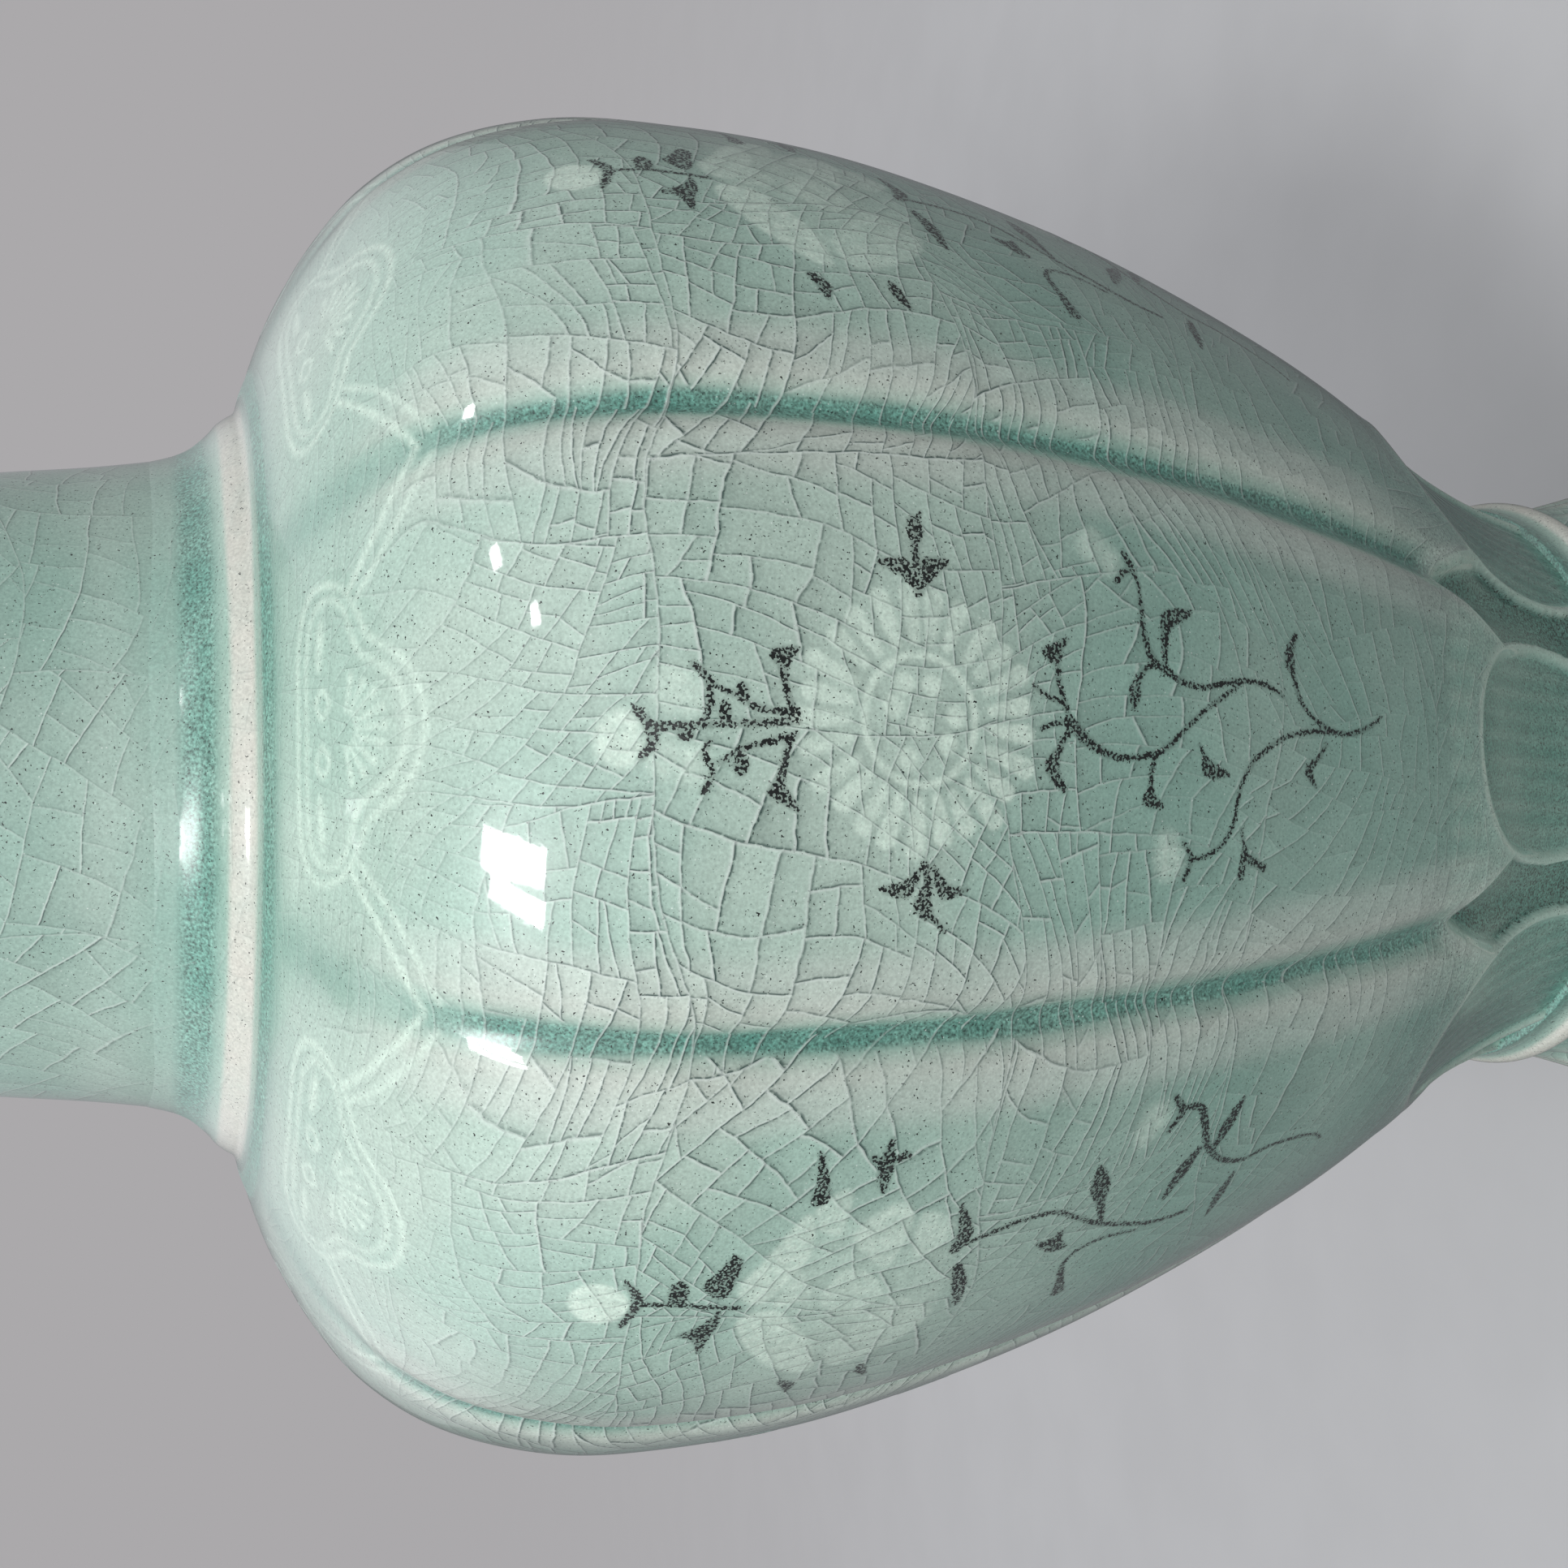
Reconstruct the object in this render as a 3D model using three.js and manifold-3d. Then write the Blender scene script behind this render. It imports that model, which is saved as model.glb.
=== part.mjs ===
// An inlaid celadon bottle vase: a melon body of eight lobes on a pleated foot, with a flaring neck.
// Millimetres, +Z up, the origin at the middle of the foot's resting face. Lobe 1's crown faces -Y.
import * as THREE from "three";
import { mergeVertices } from "three/addons/utils/BufferGeometryUtils.js";
import Module from "manifold-3d";

const wasm = await Module();
wasm.setup();

// Driving dimensions
const LOBES = 8;
const PLEATS = 32;
const TOTAL_HEIGHT = 256;
const SHOULDER_TOP = 174;
const BODY_BOTTOM = 38.6;
const FOOT_TOP = 38.3;
const JOINT_GAP = 0.3;
const WALL = 5;
const NECK_WALL = 4.5;
const THROAT_RADIUS = 25.5;
const NECK_BASE_RADIUS = 31.2;
const WAIST_RADIUS = 28.6;
const MOUTH_OPENING_RADIUS = 43.4;

// Spigots: the short straight ends that the raised rings cover
const BODY_SPIGOT_TOP = 40.9;
const NECK_SPIGOT_TOP = 177.2;
const FOOT_SPIGOT_BOTTOM = 37.4;

// Facets round the axis and along the profiles
const BODY_SEGMENTS = LOBES * 8;
const FOOT_SEGMENTS = PLEATS * 3;
const NECK_SEGMENTS = LOBES * 4;
const RING_SEGMENTS = 32;
const INSIDE_SEGMENTS = 24;
const BODY_STEPS = 16;
const BODY_INSIDE_STEPS = 9;
const NECK_STEPS = 9;
const NECK_INSIDE_STEPS = 7;
const FOOT_STEPS = 5;

// Outer profiles at the crown of a lobe, a petal or a pleat, as [radius, height]
const BODY_PROFILE = [
  [29.6, 41.2], [30.4, 44.5], [32.4, 50.5], [36.0, 58], [41.2, 66], [46.6, 76], [51.8, 88],
  [56.2, 100], [59.8, 113], [62.2, 125], [63.2, 137], [62.8, 147], [60.0, 156.5],
  [55.4, 163.4], [49.4, 168.2], [42.6, 171.8], [36.0, SHOULDER_TOP],
];
const NECK_PROFILE = [
  [30.9, 177.6], [29.9, 180], [28.9, 187], [28.1, 195], [27.0, 205], [26.1, 215],
  [26.4, 223], [28.0, 231.5], [31.4, 240], [36.8, 248], [43.0, 253.4], [45.6, TOTAL_HEIGHT],
];
const FOOT_PROFILE = [
  [29.6, 37.0], [31.4, 30], [34.0, 21], [37.8, 12], [42.4, 4.5], [46.4, 1.4], [47.0, 0],
];

// The hollow under the foot, as [radius, height] from its mouth to its roof
const FOOT_HOLLOW = [
  [43, -1], [42, 0], [38, 4], [33, 12], [28.4, 22], [25, 31], [20, 34],
];

// The hollow in the body: its floor, and the heights between which its wall follows the outside
const BELLY_FLOOR = [[0, 44.6], [20, 46]];
const BELLY_WALL_BOTTOM = 47;
const BELLY_WALL_TOP = 168;
const THROAT_BOTTOM = 169;

// Raised rings, closed outlines as [radius, height]
const NECK_RING = [
  [31.5, 174.3], [33.2, 174.3], [33.9, 175.2], [33.6, 176.3], [32.5, 177.1], [31.5, 177.1],
];
const WAIST_RING = [
  [28.9, 38.6], [29.8, 38.0], [30.6, 38.4], [30.9, 39.5], [30.4, 40.6], [28.9, 40.6],
];

// The lobes' relief: a groove between neighbours and a swell towards the crown, faded out at both
// ends over the given distances from the shoulder's top and heights
const GROOVE_DEPTH = 1.7;
const GROOVE_WIDTH = 2.3;
const GROOVE_CROWDING = 0.35;
const LOBE_SWELL = 0.9;
const LOBE_ROUNDNESS = 2.4;
const WIDEST_RADIUS = 60;
const SHOULDER_FADE = [0.5, 9];
const BOTTOM_FADE = [41, 54];

// The mouth's notches between its petals, and the foot's valleys between its pleats
const MOUTH_NOTCH = 3.6;
const NOTCH_SHARPNESS = 3;
const NOTCH_BOTTOM = 228;
const PLEAT_DEPTH = 1.3;
const PLEAT_SHARPNESS = 1.6;
const PLEAT_FADE = [1.5, 7];

// Inlays: coloured slip pressed into pockets carved in the leather-hard body
const POCKET_DEPTH = 1.2;
const INLAY_DEPTH = 0.9;
const CUTTER_REACH = 8;
const FLOWER_HEIGHT = 129.5;
const RUYI_HEIGHT = 168.2;
const STEM_WIDTH = 0.9;
const CHRYSANTHEMUM = { radius: 9.6, bumps: 8, swing: 0.4, count: 16 };
const PEONY = { radius: 9, bumps: 5, swing: 0.7, count: 15 };
const BUD = { across: 1.7, up: 1.9, rise: 21.6, count: 8 };

// Outlines across the crown (first number) and up the lobe (second), right half from bottom to top
const RUYI_HALF = [
  [4.2, -3.9], [7.2, -1.4], [9.8, -0.9], [11.2, 1.4], [9.4, 3.6], [4.6, 3.9],
];
const SPRAY_HALF = [
  [0.5, 10.4], [5.2, 9.9], [5.4, 11.2], [0.5, 12], [0.5, 15.2], [1.9, 16.4], [0.5, 16.6], [0.5, 18.9],
];
const SCROLL_ROUTE = [
  [-0.5, -11], [-1.6, -14.5], [-3.1, -18], [-1.4, -23.4], [1.3, -27], [3, -31.5], [2.6, -36.4],
];
const SCROLL_WIDTHS = [2.4, STEM_WIDTH, 1.8, STEM_WIDTH, STEM_WIDTH, 2.4, STEM_WIDTH];

const celadon = new THREE.MeshStandardMaterial({ color: 0xa9c4b6, roughness: 0.15, metalness: 0 });
const thinGlaze = new THREE.MeshStandardMaterial({ color: 0xe0ddd4, roughness: 0.15, metalness: 0 });
const whiteSlip = new THREE.MeshStandardMaterial({ color: 0xcfe2d6, roughness: 0.15, metalness: 0 });
const blackSlip = new THREE.MeshStandardMaterial({ color: 0x2c3431, roughness: 0.15, metalness: 0 });

// Where an angle lies in its lobe, from -1 in one groove through 0 on the crown to 1 in the next.
function lobePosition(angle, count) {
  const turn = (angle * count) / (2 * Math.PI);
  return (turn - Math.round(turn)) * 2;
}

// How far the body's surface lies inside the circle through its crowns.
function bodyDip(angle, radius, height) {
  const across = Math.abs(lobePosition(angle, LOBES));
  const arc = ((1 - across) * Math.PI * radius) / LOBES;
  const fadeTop = THREE.MathUtils.smoothstep(SHOULDER_TOP - height, ...SHOULDER_FADE);
  const fadeBottom = THREE.MathUtils.smoothstep(height, ...BOTTOM_FADE);
  const groove = GROOVE_DEPTH * Math.exp(-((arc / GROOVE_WIDTH) ** 2));
  const swell = LOBE_SWELL * across ** LOBE_ROUNDNESS * (radius / WIDEST_RADIUS);
  return (groove + swell) * fadeTop * fadeBottom;
}

function mouthDip(angle, radius, height) {
  const across = Math.abs(lobePosition(angle, LOBES));
  const rise = THREE.MathUtils.smoothstep(height, NOTCH_BOTTOM, TOTAL_HEIGHT);
  return MOUTH_NOTCH * across ** NOTCH_SHARPNESS * rise;
}

function pleatDip(angle, radius, height) {
  const across = Math.abs(lobePosition(angle, PLEATS));
  const belowWaist = THREE.MathUtils.smoothstep(FOOT_TOP - height, ...PLEAT_FADE);
  return PLEAT_DEPTH * across ** PLEAT_SHARPNESS * belowWaist;
}

function noDip() {
  return 0;
}

// A solid of revolution about Z whose surface is then pushed in by a dip that depends on where it is.
// Crowding gathers the facets' edges at the lobes' grooves.
function turned(profile, segments, dip = noDip, crowding = 0) {
  const points = profile.map(([r, z]) => new THREE.Vector2(r, z));
  const geometry = new THREE.LatheGeometry(points, segments);
  const position = geometry.getAttribute("position");
  for (let i = 0; i < position.count; i++) {
    const height = position.getY(i);
    const radius = Math.hypot(position.getX(i), position.getZ(i));
    if (radius < Number.EPSILON) continue;
    const even = Math.atan2(position.getX(i), position.getZ(i));
    const angle = even + (crowding * Math.sin(Math.PI * lobePosition(even, LOBES))) / LOBES;
    const inside = radius - dip(angle, radius, height);
    position.setXYZ(i, inside * Math.sin(angle), height, inside * Math.cos(angle));
  }
  geometry.rotateX(Math.PI / 2);
  return asSolid(geometry);
}

function asSolid(geometry) {
  geometry.deleteAttribute("uv");
  geometry.deleteAttribute("normal");
  const merged = mergeVertices(geometry, 1e-3);
  const vertProperties = new Float32Array(merged.getAttribute("position").array);
  const triVerts = new Uint32Array(merged.index.array);
  return new wasm.Manifold(new wasm.Mesh({ numProp: 3, vertProperties, triVerts }));
}

function asGeometry(solid) {
  const mesh = solid.getMesh();
  return new THREE.BufferGeometry()
    .setAttribute("position", new THREE.BufferAttribute(mesh.vertProperties, 3))
    .setIndex(new THREE.BufferAttribute(mesh.triVerts, 1));
}

function smoothProfile(points, count) {
  const curve = new THREE.SplineCurve(points.map(([r, z]) => new THREE.Vector2(r, z)));
  return curve.getPoints(count).map((p) => [p.x, p.y]);
}

// The same profile moved inwards by a wall's thickness.
function inset(points, wall) {
  return points.map(([r, z], i) => {
    const [r0, z0] = points[Math.max(0, i - 1)];
    const [r1, z1] = points[Math.min(points.length - 1, i + 1)];
    const length = Math.hypot(r1 - r0, z1 - z0);
    return [r - (wall * (z1 - z0)) / length, z + (wall * (r1 - r0)) / length];
  });
}

const vase = new THREE.Group();

function add(name, solid, material) {
  const mesh = new THREE.Mesh(asGeometry(solid), material);
  mesh.name = name;
  vase.add(mesh);
}

const bodySkin = smoothProfile(BODY_PROFILE, BODY_STEPS);

function solidBody() {
  const spigot = [[0, BODY_BOTTOM], [WAIST_RADIUS, BODY_BOTTOM], [WAIST_RADIUS, BODY_SPIGOT_TOP]];
  const outline = [...spigot, ...bodySkin, [0, SHOULDER_TOP]];
  return turned(outline, BODY_SEGMENTS, bodyDip, GROOVE_CROWDING);
}

// What is left of the body under a cut of the given depth all over its skin, from its floor up.
function bodyUnder(depth) {
  const skin = inset(smoothProfile(BODY_PROFILE, BODY_INSIDE_STEPS), depth);
  const [topRadius, topHeight] = skin.at(-1);
  const top = [[topRadius - WALL, topHeight], [0, topHeight]];
  return turned([[0, BELLY_FLOOR[0][1]], ...skin.slice(1), ...top], INSIDE_SEGMENTS);
}

// The space inside the body: a closed floor, a wide belly and an open throat under the neck.
function bellyHollow() {
  const wall = inset(smoothProfile(BODY_PROFILE, BODY_INSIDE_STEPS), WALL).filter(
    ([r, z]) => z > BELLY_WALL_BOTTOM && z < BELLY_WALL_TOP && r > THROAT_RADIUS,
  );
  const top = SHOULDER_TOP + WALL;
  const throat = [[THROAT_RADIUS, THROAT_BOTTOM], [THROAT_RADIUS, top], [0, top]];
  return turned([...BELLY_FLOOR, ...wall, ...throat], INSIDE_SEGMENTS);
}

// The neck with its mouth of eight petals, thrown as one piece.
function neckAndMouth() {
  const base = SHOULDER_TOP + JOINT_GAP;
  const spigot = [[0, base], [NECK_BASE_RADIUS, base], [NECK_BASE_RADIUS, NECK_SPIGOT_TOP]];
  const skin = smoothProfile(NECK_PROFILE, NECK_STEPS);
  const outside = turned([...spigot, ...skin, [0, TOTAL_HEIGHT]], NECK_SEGMENTS, mouthDip);
  const inner = inset(smoothProfile(NECK_PROFILE, NECK_INSIDE_STEPS), NECK_WALL).slice(1, -1);
  const throat = [[0, base - WALL], [THROAT_RADIUS, base - WALL], [THROAT_RADIUS, base + 2]];
  const above = TOTAL_HEIGHT + 0.5;
  const mouth = [[MOUTH_OPENING_RADIUS, above], [0, above]];
  return outside.subtract(turned([...throat, ...inner, ...mouth], NECK_SEGMENTS, mouthDip));
}

// The pleated foot, hollow underneath.
function footSkirt() {
  const spigot = [[0, FOOT_TOP], [WAIST_RADIUS, FOOT_TOP], [WAIST_RADIUS, FOOT_SPIGOT_BOTTOM]];
  const skin = smoothProfile(FOOT_PROFILE, FOOT_STEPS);
  const outside = turned([...spigot, ...skin, [0, 0]].reverse(), FOOT_SEGMENTS, pleatDip);
  const mouth = FOOT_HOLLOW[0][1];
  const roof = FOOT_HOLLOW.at(-1)[1];
  return outside.subtract(turned([[0, mouth], ...FOOT_HOLLOW, [0, roof]], INSIDE_SEGMENTS));
}

function ring(outline) {
  return turned([...outline, outline[0]], RING_SEGMENTS);
}

// An outline from its right half, closed by the half's mirror image.
function mirrored(half) {
  return [...half, ...half.map(([across, up]) => [-across, up]).reverse()];
}

// A round outline with bumps, such as a flower head's.
function bumpy({ radius, bumps = 0, swing = 0, count }) {
  return Array.from({ length: count }, (_, i) => {
    const angle = (2 * Math.PI * i) / count;
    const reach = radius + swing * Math.cos(bumps * angle);
    return [reach * Math.cos(angle), reach * Math.sin(angle)];
  });
}

function oval({ across, up, rise, count }) {
  return bumpy({ radius: 1, count }).map(([x, y]) => [x * across, rise + y * up]);
}

// A stem drawn along a route, with a width at each of its points.
function stroke(route, widths) {
  const side = (sign) =>
    route.map(([x, y], i) => {
      const [x0, y0] = route[Math.max(0, i - 1)];
      const [x1, y1] = route[Math.min(route.length - 1, i + 1)];
      const length = Math.hypot(x1 - x0, y1 - y0);
      const reach = (sign * widths[i]) / 2 / length;
      return [x - reach * (y1 - y0), y + reach * (x1 - x0)];
    });
  return [...side(-1), ...side(1).reverse()];
}

// An anticlockwise outline moved outwards by a distance.
function grown(outline, distance) {
  const count = outline.length;
  return outline.map(([x, y], i) => {
    const [x0, y0] = outline[(i + count - 1) % count];
    const [x1, y1] = outline[(i + 1) % count];
    const before = new THREE.Vector2(y - y0, x0 - x).normalize();
    const after = new THREE.Vector2(y1 - y, x - x1).normalize();
    const middle = before.clone().add(after).normalize();
    const mitre = distance / Math.max(0.5, middle.dot(before));
    return [x + middle.x * mitre, y + middle.y * mitre];
  });
}

// A prism through the wall at a lobe's crown, its outline laid on the surface at the given height.
function prism(outline, lobe, height) {
  const above = bodySkin.findIndex(([, z]) => z > height);
  const [r0, z0] = bodySkin[above - 1];
  const [r1, z1] = bodySkin[above];
  const radius = THREE.MathUtils.mapLinear(height, z0, z1, r0, r1);
  const up = new THREE.Vector3(0, -(r1 - r0), z1 - z0).normalize();
  const across = new THREE.Vector3(1, 0, 0);
  const out = across.clone().cross(up);
  const shape = new THREE.Shape(outline.map(([x, y]) => new THREE.Vector2(x, y)));
  const geometry = new THREE.ExtrudeGeometry(shape, { depth: 2 * CUTTER_REACH, bevelEnabled: false });
  geometry.translate(0, 0, -CUTTER_REACH);
  geometry.applyMatrix4(new THREE.Matrix4().makeBasis(across, up, out).setPosition(0, -radius, height));
  geometry.rotateZ(((lobe - 1) * 2 * Math.PI) / LOBES);
  return asSolid(geometry);
}

// What is set in each lobe: odd lobes carry a chrysanthemum, even lobes a peony.
function lobeInlays(lobe) {
  const flower = lobe % 2 ? CHRYSANTHEMUM : PEONY;
  return [
    { name: "flower_inlay", outline: bumpy(flower), slip: whiteSlip },
    { name: "ruyi_inlay", outline: mirrored(RUYI_HALF), height: RUYI_HEIGHT, slip: whiteSlip },
    { name: "bud_inlay", outline: oval(BUD), slip: whiteSlip },
    { name: "spray_inlay", outline: mirrored(SPRAY_HALF), slip: blackSlip },
    { name: "scroll_inlay", outline: stroke(SCROLL_ROUTE, SCROLL_WIDTHS), slip: blackSlip },
  ];
}

const whole = solidBody();
const underPockets = bodyUnder(POCKET_DEPTH);
const underInlays = bodyUnder(INLAY_DEPTH);
let carved = whole.subtract(bellyHollow());
for (let lobe = 1; lobe <= LOBES; lobe++) {
  for (const { name, outline, height = FLOWER_HEIGHT, slip } of lobeInlays(lobe)) {
    const pocket = prism(grown(outline, JOINT_GAP), lobe, height).subtract(underPockets);
    const filling = prism(outline, lobe, height).subtract(underInlays).intersect(whole);
    carved = carved.subtract(pocket);
    add(`${name}_${lobe}`, filling, slip);
  }
}
add("melon_body", carved, celadon);
add("neck_and_mouth", neckAndMouth(), celadon);
add("foot_skirt", footSkirt(), celadon);
add("neck_ring", ring(NECK_RING), thinGlaze);
add("waist_ring", ring(WAIST_RING), thinGlaze);

export default vase;
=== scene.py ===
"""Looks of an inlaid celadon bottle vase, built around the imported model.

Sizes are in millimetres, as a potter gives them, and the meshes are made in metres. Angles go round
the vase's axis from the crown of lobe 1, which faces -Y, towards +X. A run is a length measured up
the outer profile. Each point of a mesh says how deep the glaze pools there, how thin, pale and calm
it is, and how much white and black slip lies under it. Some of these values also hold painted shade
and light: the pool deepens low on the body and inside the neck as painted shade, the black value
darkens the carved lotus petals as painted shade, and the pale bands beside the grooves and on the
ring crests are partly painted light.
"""

import logging
import math
from collections.abc import Sequence
from dataclasses import dataclass, field, replace
from enum import Enum

import bpy
import numpy as np
from mathutils import Matrix, Vector

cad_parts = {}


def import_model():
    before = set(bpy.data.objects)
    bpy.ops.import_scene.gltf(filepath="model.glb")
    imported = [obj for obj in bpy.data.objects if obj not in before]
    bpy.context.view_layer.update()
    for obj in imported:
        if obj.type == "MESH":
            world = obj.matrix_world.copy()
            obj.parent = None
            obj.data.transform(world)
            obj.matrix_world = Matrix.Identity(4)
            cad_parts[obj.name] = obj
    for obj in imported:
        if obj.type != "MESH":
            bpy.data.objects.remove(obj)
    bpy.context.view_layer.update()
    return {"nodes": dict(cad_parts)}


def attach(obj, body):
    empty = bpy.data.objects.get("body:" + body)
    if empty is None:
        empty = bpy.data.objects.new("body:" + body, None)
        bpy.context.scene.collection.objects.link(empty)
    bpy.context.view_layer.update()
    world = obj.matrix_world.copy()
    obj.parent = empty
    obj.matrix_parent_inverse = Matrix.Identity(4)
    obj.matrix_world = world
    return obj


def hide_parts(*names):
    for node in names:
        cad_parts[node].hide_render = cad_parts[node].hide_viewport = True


Point = tuple[float, float]
Place = tuple[float, float, float]
Colour = tuple[float, float, float, float]
Array = np.ndarray
Glaze = dict[str, Array | float]

LOG = logging.getLogger("vase")

MM = 0.001
LOBES = 8
LOBE_ANGLE = 2.0 * math.pi / LOBES
HALF_LOBE = LOBE_ANGLE / 2.0
SEAM_ANGLE = -math.pi - HALF_LOBE

# The radii at which the crackle has its full size, and how much of it a radian of the other pieces takes
BODY_FIELD = 60.0
NECK_FIELD = 32.0
WEAVE_PER_RADIAN = 30.0

# Radius and height of the two raised rings, and every value of the glaze inside the body
NECK_CREST: Point = (33.8, 175.4)
WAIST_CREST: Point = (31.1, 39.4)
INSIDE_GLAZE = 0.15

# Factors that turn the random numbers of a plate into other ones
LEAN_SHUFFLE = 37.0
KEY_SHUFFLE = 61.0
HALF_SHUFFLE = 17.0


def smoothstep(value: Array, low: float, high: float) -> Array:
    """Rises smoothly from 0 at low to 1 at high."""
    share = np.clip((value - low) / (high - low), 0.0, 1.0)
    return share * share * (3.0 - 2.0 * share)


def bell(value: Array, width: float) -> Array:
    """A smooth hump that is 1 at zero and falls off over a width."""
    return np.exp(-((value / width) ** 2))


def pool_above(gap: Array) -> Array:
    """How deep the glaze pools above a raised ring, from the distance to its crest."""
    return np.maximum(0.8 * bell(np.maximum(gap - 4.9, 0.0), 1.8), 0.34)


def through(points: Sequence[Point], count: int, closed: bool = False) -> Array:
    """Draws a smooth curve through points.

    Args:
        points: The points that the curve passes.
        count: How many pieces the curve is cut into.
        closed: Whether the curve goes on from its last point to its first.

    Returns:
        The curve's points, one more than count. A closed curve ends where it starts.
    """
    knots = np.array(points, dtype=float)
    total = len(knots)
    spans = total if closed else total - 1
    place = np.linspace(0.0, spans, count + 1)[: count if closed else None]
    first = np.minimum(place.astype(int), spans - 1)
    share = (place - first)[:, None]

    def knot(step: int) -> Array:
        """The knots a number of steps on, held at the ends of an open curve."""
        index = first + step
        return knots[index % total] if closed else knots[np.clip(index, 0, total - 1)]

    before, start, end, after = knot(-1), knot(0), knot(1), knot(2)
    leave, arrive = (end - before) / 2.0, (after - start) / 2.0
    cube = 2.0 * start - 2.0 * end + leave + arrive
    square = 3.0 * end - 3.0 * start - 2.0 * leave - arrive
    curve = ((cube * share + square) * share + leave) * share + start
    return np.vstack([curve, curve[:1]]) if closed else curve


def steps_along(curve: Array) -> Array:
    """How long each step of a curve is, with none before its first point."""
    return np.hypot(*np.diff(curve, axis=0, prepend=curve[:1]).T)


def around_axis(angle: Array, reach: Array, height: Array) -> Array:
    """The points at angles round the axis, distances from it and heights, as x, y and z."""
    return np.stack(np.broadcast_arrays(reach * np.sin(angle), -reach * np.cos(angle), height), axis=-1)


def turned_section(section: Array, angles: Array) -> tuple[Array, Array, Array]:
    """The angle, radius and height of each point that a section makes when it is turned."""
    angle, radius = np.meshgrid(angles[:-1], section[:, 0])
    return angle, radius, np.repeat(section[:, 1:], len(angles) - 1, axis=1)


def even_angles(columns: int) -> Array:
    """Evenly spaced angles all round, from the seam to the seam again."""
    return np.linspace(SEAM_ANGLE, SEAM_ANGLE + 2.0 * math.pi, columns + 1)


def off_crown(angle: Array, count: int = LOBES) -> Array:
    """The angle off the nearest of a number of evenly spaced crowns."""
    step = 2.0 * math.pi / count
    return angle - np.round(angle / step) * step


def lobe_angles(per_lobe: int, gather: float) -> Array:
    """Angles all round, closer together at the grooves.

    Args:
        per_lobe: How many there are in each lobe.
        gather: How strongly they gather at the grooves, from 0 to below 1.

    Returns:
        The angles from the seam to the seam again, one more than there are columns.
    """
    share = np.linspace(-1.0, 1.0, per_lobe, endpoint=False)
    crowded = (share + gather * np.sin(math.pi * share) / math.pi + 1.0) / 2.0
    lobes = np.arange(LOBES)[:, None] + crowded[None, :]
    return SEAM_ANGLE + LOBE_ANGLE * np.append(lobes.ravel(), LOBES)


def crackle_across(angle: Array, field_radius: float) -> Array:
    """The crackle's coordinate round the vase, drawn out so that plates are long at the grooves."""
    return field_radius * (angle + 0.035 * np.sin(LOBES * angle))


class Profile:
    """A smooth outline in the plane through the vase's axis, measured by its run."""

    def __init__(self, points: Sequence[Point], field_radius: float) -> None:
        """Measures the outline.

        Args:
            points: Radius and height of the points it passes, in order.
            field_radius: The radius at which the crackle has its full size.
        """
        curve = through(points, 1600)
        middle = (curve[1:, 0] + curve[:-1, 0]) / 2.0
        weave = steps_along(curve)[1:] * np.sqrt(field_radius / np.maximum(middle, 1.0))
        self.radii, self.heights = curve.T
        self.runs = np.cumsum(steps_along(curve))
        self.weaves = np.concatenate([[0.0], np.cumsum(weave)])
        groove_pale_and_light = np.gradient(curve, self.runs, axis=0)
        self.out_radii, self.out_heights = groove_pale_and_light[:, 1], -groove_pale_and_light[:, 0]
        self.field_radius = field_radius
        self.length = float(self.runs[-1])

    def radius(self, run: Array) -> Array:
        """The radius at a run."""
        return np.interp(run, self.runs, self.radii)

    def height(self, run: Array) -> Array:
        """The height at a run."""
        return np.interp(run, self.runs, self.heights)

    def weave(self, run: Array) -> Array:
        """The crackle's coordinate up the vase at a run."""
        return np.interp(run, self.runs, self.weaves)

    def run_at(self, height: float) -> float:
        """The run at a height, on a profile that only rises."""
        return float(np.interp(height, self.heights, self.runs))

    def place(self, angle: Array, run: Array, out: Array) -> Array:
        """Puts points on the turned surface.

        Args:
            angle: Their angles round the axis.
            run: Their runs.
            out: How far they stand off the surface.

        Returns:
            The points in millimetres, with x, y and z as the last axis.
        """
        reach = self.radius(run) + out * np.interp(run, self.runs, self.out_radii)
        rise = self.height(run) + out * np.interp(run, self.runs, self.out_heights)
        return around_axis(angle, reach, rise)

    def crackle(self, angle: Array, run: Array) -> Array:
        """The crackle's own coordinates, in millimetres of glaze."""
        across = crackle_across(angle, self.field_radius)
        return np.stack(np.broadcast_arrays(across, self.weave(run)), axis=-1)


def outline_distance(x: Array, y: Array, outline: Array, widths: Array) -> Array:
    """The distance to a chain of tapered segments.

    Args:
        x: Where the points lie, across.
        y: Where they lie, along.
        outline: The chain's points.
        widths: The chain's width at each of its points.

    Returns:
        The distance to the chain's edge, below zero inside it.
    """
    nearest = np.full(x.shape, np.inf)
    for start, end, wide, narrow in zip(outline[:-1], outline[1:], widths[:-1], widths[1:]):
        step = end - start
        reach = max(float(step @ step), 1e-9)
        share = np.clip(((x - start[0]) * step[0] + (y - start[1]) * step[1]) / reach, 0.0, 1.0)
        gap = np.hypot(x - start[0] - share * step[0], y - start[1] - share * step[1])
        nearest = np.minimum(nearest, gap - (wide + share * (narrow - wide)) / 2.0)
    return nearest


def is_inside(x: Array, y: Array, outline: Array) -> Array:
    """Tells which points lie inside a closed outline.

    Args:
        x: Where the points lie, across.
        y: Where they lie, along.
        outline: The outline's points, the last one the same as the first.

    Returns:
        True for each point that lies inside.
    """
    inside = np.zeros(x.shape, dtype=bool)
    for start, end in zip(outline[:-1], outline[1:]):
        if start[1] != end[1]:
            crosses = (start[1] > y) != (end[1] > y)
            inside ^= crosses & (x < start[0] + (y - start[1]) * (end[0] - start[0]) / (end[1] - start[1]))
    return inside


class Slip(Enum):
    """The two coloured clays of the inlay."""

    WHITE = "white"
    BLACK = "black"


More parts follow.
